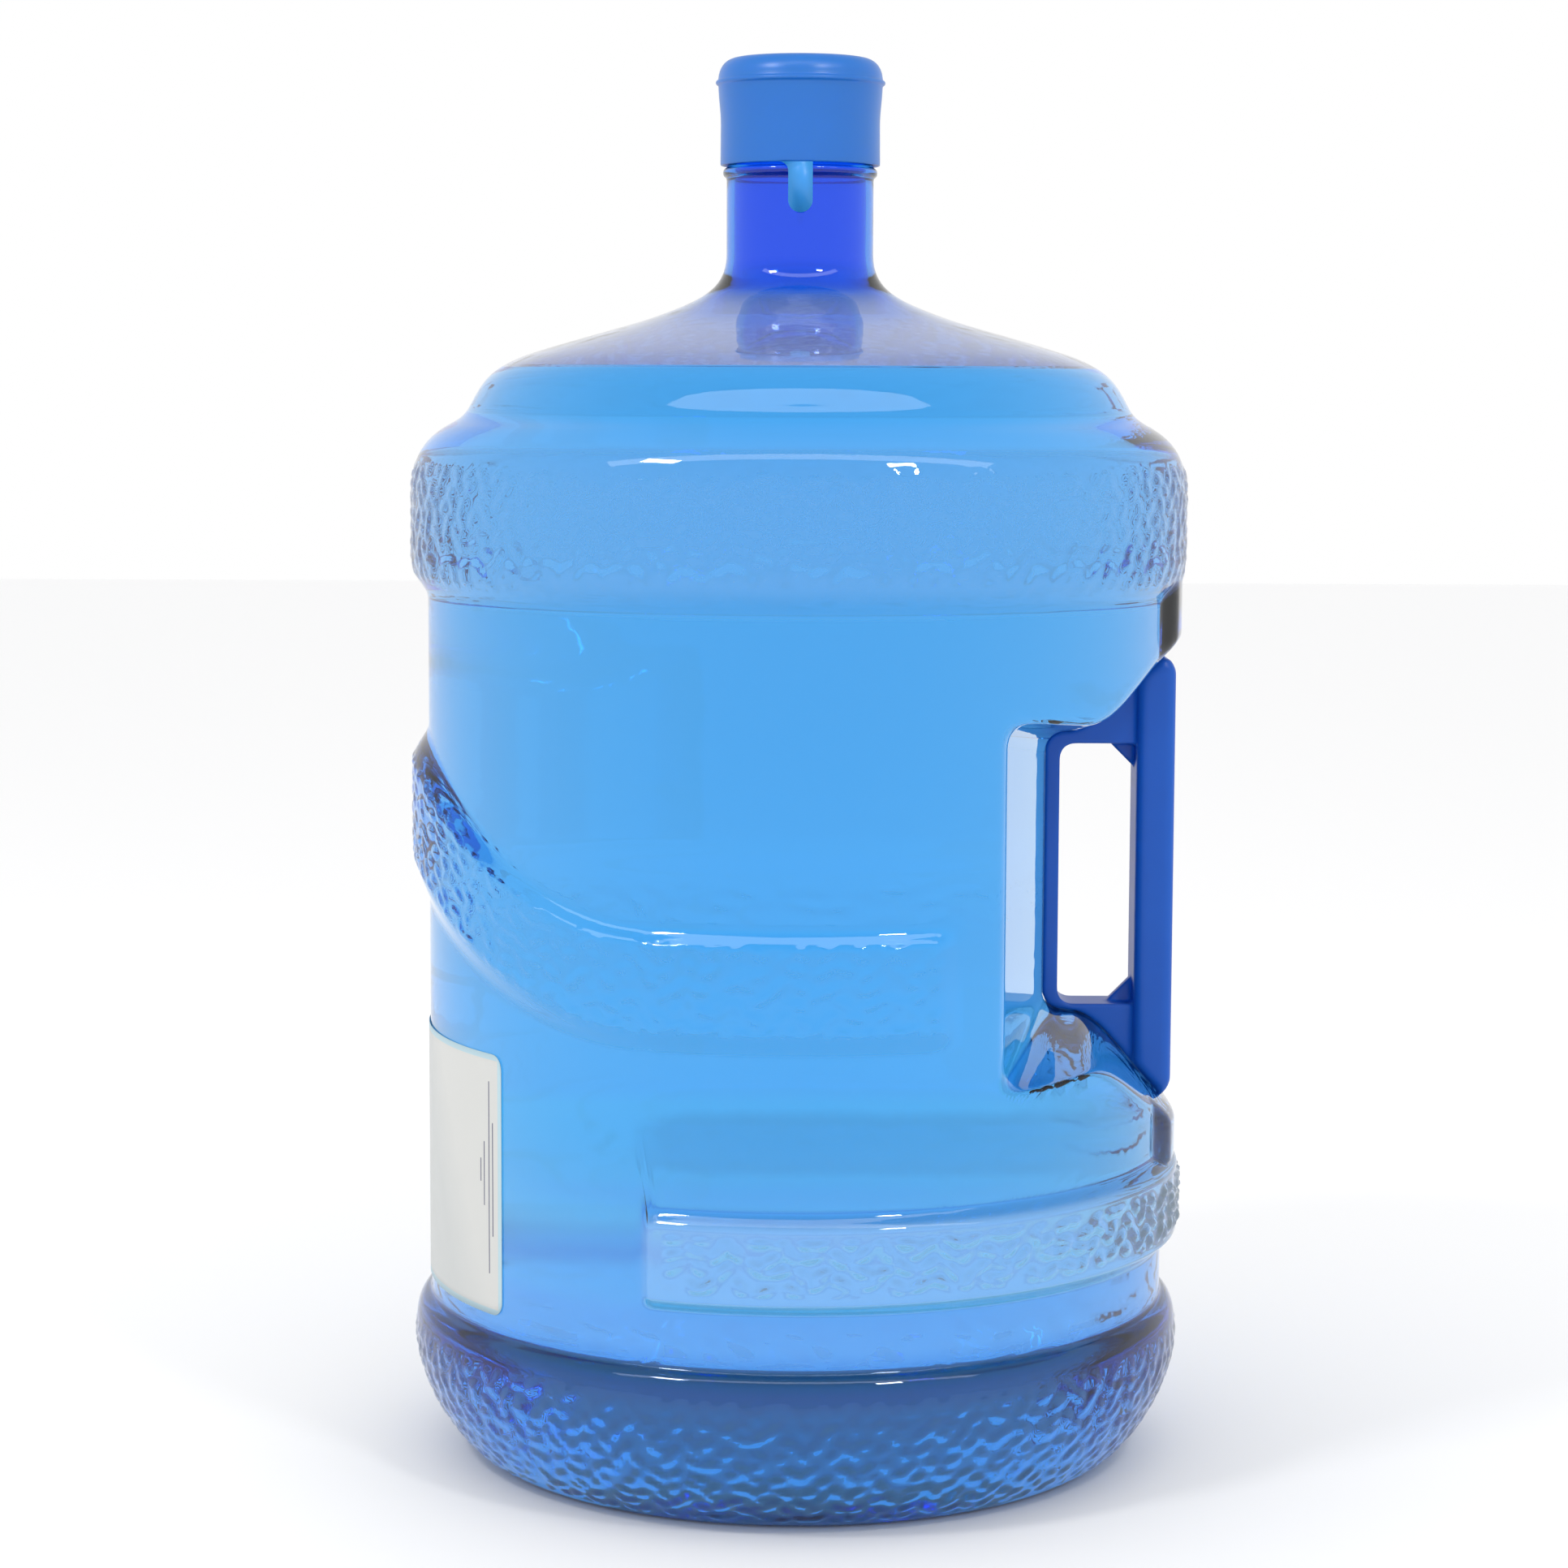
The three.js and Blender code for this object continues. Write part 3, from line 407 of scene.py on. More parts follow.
def recess_radius(angle, z):
    """Where a line from the axis first meets the recess."""
    low = np.full(z.shape, 50.0)
    high = np.full(z.shape, NO_RECESS)
    for _ in range(26):
        middle = (low + high) / 2
        inside = recess_depth(middle * np.cos(angle), middle * np.sin(angle), z) > 0
        high = np.where(inside, middle, high)
        low = np.where(inside, low, middle)
    return high


def skin_radius(angle, z):
    plain = plain_skin(angle, z)
    near = np.cos(angle) > RECESS_SIDE
    reach = np.where(near, recess_radius(angle, z), NO_RECESS)
    return soft_min(plain, reach, RECESS_EDGE)


def barrel_grid(angles):
    """Radius and height of the barrel's rows. Each column's rows crowd where the skin bends or is grained."""
    z = np.linspace(BULGE_Z, BAND_FOOT, FINE_ROWS)
    dense_angle, dense_z = np.meshgrid(angles, z)
    radius = skin_radius(dense_angle, dense_z)
    dr, dz = np.gradient(radius, axis=0), np.gradient(dense_z, axis=0)
    length = np.hypot(dr, dz)
    bend = np.abs(np.gradient(np.unwrap(np.arctan2(dr, dz), axis=0), axis=0)) / length
    grained = np.maximum(rib_cover(dense_angle, dense_z), panel_cover(dense_angle, dense_z))
    weight = 1.0 + 5.0 * np.minimum(bend, 0.5) + 1.6 * grained
    for _ in range(6):
        weight = (np.roll(weight, 1, 1) + weight + np.roll(weight, -1, 1)) / 3
        weight[1:-1] = (weight[:-2] + weight[1:-1] + weight[2:]) / 3
    travelled = np.cumsum(weight * length, axis=0)
    travelled -= travelled[0]
    heights = np.empty((BARREL_ROWS + 1, len(angles)))
    for i, column in enumerate(travelled.T):
        heights[:, i] = np.interp(np.linspace(0.0, column[-1], BARREL_ROWS + 1), column, z)
    grid_angle = np.broadcast_to(angles, heights.shape)
    return skin_radius(grid_angle, heights), heights


def grid_normals(grid):
    """Outward unit normals of rows of points that close on themselves."""
    round_jug = np.roll(grid, -1, 1) - np.roll(grid, 1, 1)
    up_jug = np.empty_like(grid)
    up_jug[1:-1] = grid[2:] - grid[:-2]
    up_jug[0] = grid[1] - grid[0]
    up_jug[-1] = grid[-1] - grid[-2]
    normal = np.cross(round_jug, up_jug)
    return normal / np.linalg.norm(normal, axis=2, keepdims=True)


# ---- the moulded grain


def grain_map(height):
    """Heights, 0 to 1, of leaf-shaped grains over the jug's full turn and a height in millimetres."""
    rng = np.random.default_rng(GRAIN_SEED)
    turn = 2 * math.pi * BAND_RADIUS
    across, up = int(turn / GRAIN_PIXEL), int(height / GRAIN_PIXEL)
    field = np.zeros((up, across))
    reach = int(GRAIN_LENGTH / GRAIN_PIXEL / 2) + 2
    span = np.arange(-reach, reach + 1)
    dx, dy = np.meshgrid(span * GRAIN_PIXEL, span * GRAIN_PIXEL)
    columns, rows = int(turn / GRAIN_PITCH[0]), int(height / GRAIN_PITCH[1]) + 1
    for row in range(rows):
        for column in range(columns):
            u = (column + 0.5 * (row % 2) + rng.uniform(-0.3, 0.3)) * turn / columns
            v = (row + rng.uniform(-0.3, 0.3)) * GRAIN_PITCH[1]
            lean = rng.uniform(*GRAIN_LEAN) * (1 if (row + column) % 2 else -1)
            half = GRAIN_LENGTH / 2 * rng.uniform(0.75, 1.05)
            along = (dx * math.cos(lean) + dy * math.sin(lean)) / half
            side = -dx * math.sin(lean) + dy * math.cos(lean)
            side = side - 0.5 * rng.uniform(-1, 1) * along**2
            width = GRAIN_WIDTH / 2 * np.clip(1 - along**2, 1e-3, 1) ** 0.7
            bump = np.clip(1 - along**2, 0, 1) ** 0.5 * np.clip(1 - (side / width) ** 2, 0, 1)
            bump *= rng.uniform(0.75, 1.0)
            x = (int(u / GRAIN_PIXEL) + span) % across
            y = int(v / GRAIN_PIXEL) + span
            kept = (y >= 0) & (y < up)
            patch = np.ix_(y[kept], x)
            field[patch] = np.maximum(field[patch], bump[kept])
    for _ in range(2):
        field = (np.roll(field, 1, 1) + 2 * field + np.roll(field, -1, 1)) / 4
        field[1:-1] = (field[:-2] + 2 * field[1:-1] + field[2:]) / 4
    return field


def sample_map(field, angle, v):
    """The map's height at an angle round the jug and a height up the map, between its pixels."""
    up, across = field.shape
    x = (angle / (2 * math.pi) % 1.0) * across
    y = np.clip(v / GRAIN_PIXEL, 0, up - 2)
    x0, y0 = np.floor(x).astype(int), np.floor(y).astype(int)
    fx, fy = x - x0, y - y0
    x1 = (x0 + 1) % across
    x0 = x0 % across
    lower = field[y0, x0] * (1 - fx) + field[y0, x1] * fx
    upper = field[y0 + 1, x0] * (1 - fx) + field[y0 + 1, x1] * fx
    return lower * (1 - fy) + upper * fy


def grain_relief(angle, z, along):
    """How far the grains stand out of the skin. along is the outline's length from the middle of the base."""
    rib = smooth((rib_cover(angle, z) - 0.86) / 0.14)
    rib_foot = rib_edges(angle)[1]
    inside = PANEL_END - PANEL_END_SLOPE - PANEL_MARGIN_ANGLE
    panel = smooth((inside - from_grip(angle)) / 0.8)
    low, high = PANEL_FACE_LOW + PANEL_MARGIN, PANEL_FACE_HIGH - PANEL_MARGIN
    panel *= between(z, low, PANEL_GRAIN_FADE, high, PANEL_GRAIN_FADE)
    panel *= PANEL_GRAIN + (BACK_PANEL_GRAIN - PANEL_GRAIN) * back_share(angle)
    field = grain_map(GRAIN_MAP_HEIGHT)
    base = between(z, *BASE_GRAIN) * (along > FOOT_START)
    relief = base * sample_map(field, angle, along - BASE_GRAIN_START)
    relief += between(z, *BAND_GRAIN) * sample_map(field, angle, BAND_IN_MAP + z - BAND_GRAIN_FOOT)
    relief += rib * sample_map(field, angle, RIB_IN_MAP + z - rib_foot)
    relief += panel * sample_map(field, angle, PANEL_IN_MAP + z - PANEL_FACE_LOW)
    return GRAIN_HEIGHT * relief


def frost_cover(angle, z):
    """How much each place scatters light, 0 to 1: most on the panel, a little on the bands."""
    panel = smooth((panel_cover(angle, z) - 0.4) / 0.5)
    band, haze = between(z, *BAND_FROST_REACH), between(z, *HAZE_REACH)
    return np.maximum(PANEL_FROST * panel, np.maximum(BAND_FROST * band, HAZE * haze))


# ---- the jug and its water


def rows_to_grid(rows, angles):
    radius, height = rows[:, 0][:, None], rows[:, 1][:, None]
    return np.stack(
        [radius * np.cos(angles), radius * np.sin(angles), height * np.ones(len(angles))], -1
    )


def skin_grid(angles):
    """The smooth skin from near the middle of the base up to the lip."""
    radius, height = barrel_grid(angles)
    barrel = np.stack([radius * np.cos(angles), radius * np.sin(angles), height], -1)
    lower, upper = rows_to_grid(lower_rows(), angles), rows_to_grid(upper_rows(), angles)
    return np.concatenate([lower[:-1], barrel, upper[1:]])


def inner_grid(skin, normals, gap=0.0):
    """The inside of the wall, with half the skin's rows and columns. The neck's bore is straight."""
    skin, normals = skin[::2, ::2], normals[::2, ::2]
    z = skin[..., 2:]
    wall = WALL + (NECK_WALL - WALL) * smooth((z - NECK_WALL_FOOT) / 5.0)
    inside = skin - normals * (wall + gap)
    straight_neck = z > NECK_FOOT + 8
    reach = np.linalg.norm(inside[..., :2], axis=-1, keepdims=True)
    inside[..., :2] *= np.where(straight_neck, (BORE_RADIUS - gap) / reach, 1.0)
    inside[..., 2:] = np.where(straight_neck, z, inside[..., 2:])
    return inside


def under_jug(points):
    """Whether each point of the outer skin is on the thick underside, whose near-black tint is painted shade.
    """
    return (np.hypot(points[:, 0], points[:, 1]) < FOOT_RADIUS + 1) & (points[:, 2] < PUSH_UP + 1)


def jug_shell(skin, normals, angles):
    step = np.linalg.norm(np.diff(skin[:, 0], axis=0), axis=1)
    along = np.concatenate([[0.0], np.cumsum(step)])[:, None] * np.ones(len(angles))
    relief = grain_relief(np.broadcast_to(angles, skin.shape[:2]), skin[..., 2], along)
    outer = skin + normals * relief[..., None]
    inner = inner_grid(skin, normals)
    count, half = len(angles), len(angles) // 2
    middles = [[0, 0, PUSH_UP], [0, 0, PUSH_UP + WALL]]
    points = np.vstack([outer.reshape(-1, 3), inner.reshape(-1, 3), middles])
    first_inner = outer.shape[0] * count
    under, over = len(points) - 2, len(points) - 1
    faces = ring_faces(0, outer.shape[0], count)
    faces += ring_faces(first_inner, inner.shape[0], half, flip=True)
    faces += fan(under, 0, count)
    faces += fan(over, first_inner, half, flip=True)
    lip_outer = (outer.shape[0] - 1) * count
    lip_inner = first_inner + (inner.shape[0] - 1) * half
    for i in range(half):
        a, b, c = (lip_outer + (2 * i + k) % count for k in range(3))
        d, e = lip_inner + i, lip_inner + (i + 1) % half
        faces += [(a, b, d), (b, e, d), (b, c, e)]
    shell = mesh_object("jug_shell", points, faces)
    frost = shell.data.attributes.new("frost", "FLOAT", "POINT")
    frosted = np.zeros(len(points), np.float32)
    frosted[:first_inner] = frost_cover(np.broadcast_to(angles, skin.shape[:2]), skin[..., 2]).ravel()
    frost.data.foreach_set("value", frosted)
    dry, wet_wall, underside, painted_shade_floor = range(4)
    for material in (shell_material(), wet_wall_material(), underside_painted_shade_material(), painted_shade_floor_material()):
        shell.data.materials.append(material)
    label_side = inner[:-1, half // 2]
    # the jug's inner floor below the water gets the grey tint that paints the shade under the jug
    on_floor = (np.hypot(label_side[:, 0], label_side[:, 1]) < FOOT_RADIUS) & (label_side[:, 2] < BULGE_Z)
    inner_looks = np.where(label_side[:, 2] < WATER_Z, np.where(on_floor, painted_shade_floor, wet_wall), dry)
    # the underside gets the near-black tint that paints the shade under the jug
    outer_looks = np.where(under_jug(outer[:-1, 0]), underside, dry)
    looks = [np.repeat(outer_looks, count), np.repeat(inner_looks, half)]
    looks += [[underside] * count, [painted_shade_floor] * half, [dry] * 3 * half]
    shell.data.polygons.foreach_set("material_index", np.concatenate(looks).astype(np.int32))
    return shell


WATER_GAP = 0.03  # between the water and the wall
EDGE_RISE = 0.8  # how far the water is drawn up the wall
# rings of the water's top: distance in from its edge, and height above the water line
SURFACE_RINGS = ((0.7, 0.42), (1.8, 0.18), (3.6, 0.04), (7.0, 0.0), (30.0, 0.0), (70.0, 0.0))


def water_body(skin, normals):
    """Water up to its line, close against the wall, with its edge drawn up a little where it meets it."""
    inner = inner_grid(skin, normals, gap=WATER_GAP)
    count = inner.shape[1]
    top = next(row for row in range(len(inner)) if inner[row, :, 2].min() > WATER_Z - EDGE_RISE)
    below, above = inner[top - 1], inner[top]
    share = (WATER_Z + EDGE_RISE - below[:, 2:]) / (above[:, 2:] - below[:, 2:])
    edge = below + (above - below) * share
    rings = [inner[:top].reshape(-1, 3), edge]
    reach = np.linalg.norm(edge[:, :2], axis=1, keepdims=True)
    for inward, rise in SURFACE_RINGS:
        ring = edge * (1 - inward / reach)
        ring[:, 2] = WATER_Z + rise
        rings.append(ring)
    points = np.vstack(rings + [[[0, 0, PUSH_UP + WALL + WATER_GAP], [0, 0, WATER_Z]]])
    rows = top + len(rings) - 1
    faces = ring_faces(0, rows, count)
    faces += fan(len(points) - 2, 0, count)
    faces += fan(len(points) - 1, (rows - 1) * count, count, flip=True)
    water = mesh_object("water", points, faces)
    for material in (water_material("water_inside", 1.0), water_material("water_surface", WATER_IOR)):
        water.data.materials.append(material)
    look = np.zeros(len(water.data.polygons), np.int32)
    look[top * count:(rows - 1) * count] = 1
    look[-count:] = 1
    water.data.polygons.foreach_set("material_index", look)
    return water


# ---- the grip


def plate(outline, width):
    """A closed outline of (x, z) points made solid along Y and centred on the XZ plane, as a bmesh."""
    made = bmesh.new()
    front = [made.verts.new((x, -width / 2, z)) for x, z in outline]
    face = made.faces.new(front)
    grown = bmesh.ops.extrude_face_region(made, geom=[face])
    moved = [v for v in grown["geom"] if isinstance(v, bmesh.types.BMVert)]
    bmesh.ops.translate(made, vec=(0, width, 0), verts=moved)
    bmesh.ops.recalc_face_normals(made, faces=made.faces)
    return made


def object_from(made, name):
    """An object from a bmesh in millimetres."""
    bmesh.ops.scale(made, vec=(MM, MM, MM), verts=made.verts)
    mesh = bpy.data.meshes.new(name)
    made.to_mesh(mesh)
    made.free()
    thing = bpy.data.objects.new(name, mesh)
    bpy.context.scene.collection.objects.link(thing)
    return thing


def apply_modifiers(thing):
    bpy.context.view_layer.update()
    graph = bpy.context.evaluated_depsgraph_get()
    mesh = bpy.data.meshes.new_from_object(thing.evaluated_get(graph))
    thing.modifiers.clear()
    thing.data = mesh


def recess_path(gap):
    """The recess's wall, ceiling and floor in the XZ plane, set in by a gap, from its lower mouth round."""
    ceiling = CEILING + np.array([0, -gap])
    floor = FLOOR + np.array([0, gap])
    corner = RECESS_CORNER * 0.8
    x = RECESS_X + gap
    low, high = floor[0, 1], ceiling[0, 1]
    lower = bezier((floor[0, 0], low), (x + corner * 0.4, low), (x, low + corner * 0.4), (x, low + corner), 8)
    upper = bezier(
        (x, high - corner), (x, high - corner * 0.4), (x + corner * 0.4, high), (ceiling[0, 0], high), 8
    )
    return chain(floor[::-1], lower, upper, ceiling)


GRIP_GAP = 0.3  # between the grip and the recess
BAR_DEPTH = 13.6
GRIP_INNER_X = grip_high[0] - BAR_DEPTH
GRIP_OUTER_X = grip_high[0]
GRIP_WIDTH = grip_high[1] - grip_low[1]
WINDOW_LEFT, WINDOW_FOOT, WINDOW_TOP = 92.5, 159.5, 252.5
WINDOW_CORNER = 6.0
ARM_WIDTH = 20.0
GUSSET_REACH = 9.0
GUSSET_WIDTH = 5.0


def grip_frame():
    path = recess_path(GRIP_GAP)
    cut = path[path[:, 0] <= GRIP_OUTER_X - 3]
    left, right, bottom, top = WINDOW_LEFT, GRIP_INNER_X + 2, WINDOW_FOOT, WINDOW_TOP
    corner = WINDOW_CORNER
    window = chain(
        straight((right, bottom), (left + corner, bottom), 1),
        bezier((left + corner, bottom), (left + 2, bottom), (left, bottom + 2), (left, bottom + corner), 6),
        straight((left, bottom + corner), (left, top - corner), 1),
        bezier((left, top - corner), (left, top - 2), (left + 2, top), (left + corner, top), 6),
        straight((left + corner, top), (right, top), 1),
    )
    start, end = cut[0], cut[-1]
    outline = [*cut, (end[0], top - 1), *window[::-1], (start[0], bottom + 1)]
    return plate(outline, ARM_WIDTH)


def grip_bar():
    """A round-edged bar with long tips that follow the recess's ceiling and floor."""
    path = recess_path(GRIP_GAP)
    upper = path[(path[:, 1] > 200) & (path[:, 0] > GRIP_INNER_X)]
    lower = path[(path[:, 1] < 200) & (path[:, 0] > GRIP_INNER_X)]
    made = bmesh.new()
    rings = []
    foot, middle, top = (grip_low[2], 166, 26), (170, 240, 8), (244, grip_high[2], 26)
    heights = np.concatenate([np.linspace(*part) for part in (foot, middle, top)])
    inner_at_top = np.interp(heights, upper[:, 1], upper[:, 0], left=GRIP_INNER_X)
    inner_at_foot = np.interp(heights, lower[:, 1], lower[:, 0], right=GRIP_INNER_X)
    for z, top_x, foot_x in zip(heights, inner_at_top, inner_at_foot):
        inner = max(GRIP_INNER_X, top_x if z > 200 else foot_x)
        tip = max(0.0, 5.0 - (grip_high[2] - z), 7.0 - (z - grip_low[2]))
        outer = GRIP_OUTER_X - 0.09 * tip**2
        inner = min(inner, outer - 1.6)
        width = GRIP_WIDTH - 0.12 * tip**2
        rings.append([made.verts.new(p) for p in rounded_section(inner, outer, width, z)])
    for below, above in zip(rings, rings[1:]):
        for i in range(len(below)):
            k = (i + 1) % len(below)
            made.faces.new((below[i], below[k], above[k], above[i]))
    made.faces.new(rings[0][::-1])
    made.faces.new(rings[-1])
    bmesh.ops.recalc_face_normals(made, faces=made.faces)
    return made


def rounded_section(inner, outer, width, z):
    """A rectangle with round corners in the XY plane."""
    round_by = min(3.2, (outer - inner) / 2.2)
    points = []
    corners = (
        (outer - round_by, -width / 2 + round_by, -90),
        (outer - round_by, width / 2 - round_by, 0),
        (inner + round_by, width / 2 - round_by, 90),
        (inner + round_by, -width / 2 + round_by, 180),
    )
    for x, y, start in corners:
        for step in range(5):
            angle = math.radians(start + 22.5 * step)
            points.append((x + round_by * math.cos(angle), y + round_by * math.sin(angle), z))
    return points


def gusset(corner_z, direction):
    reach, inner = GUSSET_REACH, GRIP_INNER_X
    outline = [
        (inner + 2, corner_z + 1.5 * direction),
        (inner + 2, corner_z - reach * direction),
        (inner, corner_z - reach * direction),
        (inner - reach, corner_z),
        (inner - reach, corner_z + 1.5 * direction),
    ]
    return plate(outline, GUSSET_WIDTH)


def grip():
    """Frame, bar and gussets melted into one moulding with small fillets."""
    parts = [grip_frame(), grip_bar(), gusset(WINDOW_TOP, 1), gusset(WINDOW_FOOT, -1)]
    whole = bmesh.new()
    for part in parts:
        scrap = bpy.data.meshes.new("scrap")
        part.to_mesh(scrap)
        part.free()
        whole.from_mesh(scrap)
        bpy.data.meshes.remove(scrap)
    thing = object_from(whole, "grip")
    remesh = thing.modifiers.new("melt", "REMESH")
    remesh.mode = "VOXEL"
    remesh.voxel_size = 0.75 * MM
    soften = thing.modifiers.new("soften", "SMOOTH")
    soften.factor = 0.5
    soften.iterations = 5
    apply_modifiers(thing)
    thing.data.shade_smooth()
    return thing


# ---- the label

LABEL_HALF_ANGLE = 40.6
LABEL_CORNER = 5.0
LABEL_GAP = 0.32  # between the film and the barrel
LABEL_THICKNESS = 0.22
PRINT_SCALE = 100.0  # millimetres to one unit of the label's print map
LABEL_BORDER = 2.0
# plain rules down the label's -Y end: distance from that end, lowest and highest point
LABEL_RULES = ((5.0, 27.0, 66.0), (7.2, 14.0, 80.0), (10.2, 37.0, 59.0), (12.4, 45.0, 53.0))
RULE_WIDTH = 0.55
SWEEP_LEAN = 0.5  # how fast the grey sweep's edge moves in with height


def label_film():
    """A thin film stuck round the jug, with round corners."""
    inner = BARREL_RADIUS + LABEL_GAP
    end = math.radians(LABEL_HALF_ANGLE)
    corner = LABEL_CORNER / inner
    quarter = corner * (1 - np.cos(np.linspace(0, math.pi / 2, 9)))
    middle = np.linspace(-end + corner, end - corner, 60)[1:-1]
    angles = np.concatenate([-end + quarter, middle, (end - quarter)[::-1]])
    rows = 24
    layers = []

    def heights(angle):
        share = min((end - abs(angle)) / corner, 1.0)
        inset = LABEL_CORNER * (1 - math.sqrt(max(0.0, 1 - (1 - share) ** 2)))
        return np.linspace(label_low[2] + inset, label_high[2] - inset, rows)

    for radius in (inner, inner + LABEL_THICKNESS):
        for angle in angles:
            turn = math.pi + angle
            layers += [(radius * math.cos(turn), radius * math.sin(turn), z) for z in heights(angle)]
    count = len(angles)
    faces = []

    def at(layer, i, j):
        return layer * count * rows + i * rows + j

    for i in range(count - 1):
        for j in range(rows - 1):
            faces.append((at(1, i, j), at(1, i + 1, j), at(1, i + 1, j + 1), at(1, i, j + 1)))
            faces.append((at(0, i, j), at(0, i, j + 1), at(0, i + 1, j + 1), at(0, i + 1, j)))
        faces.append((at(0, i, 0), at(0, i + 1, 0), at(1, i + 1, 0), at(1, i, 0)))
        last = rows - 1
        faces.append((at(0, i, last), at(1, i, last), at(1, i + 1, last), at(0, i + 1, last)))
    for j in range(rows - 1):
        faces.append((at(0, 0, j), at(1, 0, j), at(1, 0, j + 1), at(0, 0, j + 1)))
        e = count - 1
        faces.append((at(0, e, j), at(0, e, j + 1), at(1, e, j + 1), at(1, e, j)))
    film = mesh_object("label_film", layers, faces)
    places = [(inner * (end - angle), z - label_low[2]) for angle in angles for z in heights(angle)]
    print_map = film.data.uv_layers.new(name="print")
    for corner_of, place in zip(film.data.loops, print_map.uv):
        across, up = places[corner_of.vertex_index % len(places)]
        place.vector = (across / PRINT_SCALE, up / PRINT_SCALE)
    return film


# ---- the cap, its liner and its tab


SKIRT_RADIUS = 27.8
CAP_WALL = 1.4


def cap_shell():
    top, bottom = cap_high[2], cap_low[2]
    rim = top - 9.0
    skirt, upper = SKIRT_RADIUS, SKIRT_RADIUS + 0.9
    bead = upper + 0.9
    bore, seat = skirt - CAP_WALL, upper - CAP_WALL
    outside = chain(
        bezier((0, top - 0.5), (10, top - 0.5), (18, top - 0.1), (upper - 7, top), 8),
        bezier((upper - 7, top), (upper - 3, top), (upper - 0.3, top - 2.6), (upper, rim + 1.8), 10),
        bezier((upper, rim + 1.8), (upper + 0.1, rim + 1.2), (bead, rim + 1.2), (bead, rim + 0.5), 5),
        bezier((bead, rim + 0.5), (bead, rim - 0.3), (upper, rim - 0.2), (upper - 0.05, rim - 0.9), 5),
        bezier((upper - 0.05, rim - 0.9), (upper - 0.2, rim - 6), (skirt, rim - 9), (skirt, rim - 14), 8),
        straight((skirt, rim - 14), (skirt + 0.1, bottom + 0.6), 6),
        bezier((skirt + 0.1, bottom + 0.6), (skirt + 0.1, bottom), (skirt, bottom), (skirt - 0.6, bottom), 3),
    )
    inside = chain(
        straight((skirt - 0.6, bottom), (bore, bottom + 0.4), 1),
        straight((bore, bottom + 0.4), (bore, rim - 14), 5),
        bezier((bore, rim - 14), (bore, rim - 9), (seat, rim - 7), (seat, rim - 4), 5),
        straight((seat, rim - 4), (seat, rim + 2), 2),
        bezier((seat, rim + 2), (seat, top - 3), (upper - 4, top - 2), (upper - 8, top - 2), 6),
        straight((upper - 8, top - 2), (0, top - 2.4), 3),
    )
    profile = chain(outside, inside)
    return turned("cap_cover", profile[::-1].tolist(), 144)


def cap_liner():
    low, high = liner_low[2], liner_high[2]
    radius = liner_high[0]
    outline = [
        (0, low), (radius * 0.5, low), (radius - 1, low), (radius - 0.2, low + 0.3), (radius, low + 1),
        (radius, high - 1), (radius - 0.2, high - 0.3), (radius - 1, high), (radius * 0.5, high), (0, high),
    ]
    return turned("cap_liner_disc", outline, 96)


TAB_WIDTH = 8.4
TAB_THICKNESS = 1.3
TAB_FILLET = 3.2


def tab():
    """The pull tab, with a fillet beside its root on one side."""
    half, root = TAB_WIDTH / 2, TAB_FILLET
    top, tip = cap_low[2] - 0.05, tab_low[2]
    x0 = tab_high[0] - half
    side = bezier((-half - root, 0), (-half - root * 0.4, -0.1), (-half, -root * 0.5), (-half, -root), 8)
    turn = np.linspace(math.pi, 2 * math.pi, 25)
    end = np.stack([half * np.cos(turn), (tip - top) + half + half * np.sin(turn)], -1)
    outline = np.vstack([side, end, [[half, 0]]])
    outline = [(x + x0, top + z) for x, z in outline]
    made = plate(outline, TAB_THICKNESS)
    edges = [e for e in made.edges if len(e.link_faces) == 2 and e.calc_face_angle() > 0.9]
    bmesh.ops.bevel(made, geom=edges, offset=0.42, segments=3, affect="EDGES", clamp_overlap=True)
    bmesh.ops.translate(made, vec=(0, (tab_low[1] + tab_high[1]) / 2, 0), verts=made.verts)
    thing = object_from(made, "tab_pull")
    thing.data.shade_smooth()
    return thing


# ---- materials


def new_material(name, inputs=()):
    """A material, and its shader with these values on its own sockets."""
    material = bpy.data.materials.new(name)
    material.use_nodes = True
    shader = material.node_tree.nodes["Principled BSDF"]
    for key, value in dict(inputs).items():
        shader.inputs[key].default_value = value
    return material, shader


def add_node(material, kind, inputs=(), **settings):
    node = material.node_tree.nodes.new(kind)
    for key, value in settings.items():
        setattr(node, key, value)
    for key, value in dict(inputs).items():
        node.inputs[key].default_value = value
    return node


def link(material, source, target):
    material.node_tree.links.new(source, target)


def object_coordinates(material):
    return add_node(material, "ShaderNodeTexCoord").outputs["Object"]


def split(material, vector):
    """The X, Y and Z sockets of a vector."""
    apart = add_node(material, "ShaderNodeSeparateXYZ")
    link(material, vector, apart.inputs[0])
    return apart.outputs


def fine_bump(material, shader, coordinates, scale, strength, distance):
    noise = add_node(material, "ShaderNodeTexNoise", {"Scale": scale, "Detail": 2.0})
    made = add_node(material, "ShaderNodeBump", {"Strength": strength, "Distance": distance})
    link(material, coordinates, noise.inputs["Vector"])
    link(material, noise.outputs[0], made.inputs["Height"])
    link(material, made.outputs[0], shader.inputs["Normal"])


def uneven_roughness(material, shader, coordinates, scale, low, high):
    noise = add_node(material, "ShaderNodeTexNoise", {"Scale": scale, "Detail": 3.0})
    spread = add_node(material, "ShaderNodeMapRange", {"To Min": low, "To Max": high})
    link(material, coordinates, noise.inputs["Vector"])
    link(material, noise.outputs[0], spread.inputs[0])
    link(material, spread.outputs[0], shader.inputs["Roughness"])
    return noise


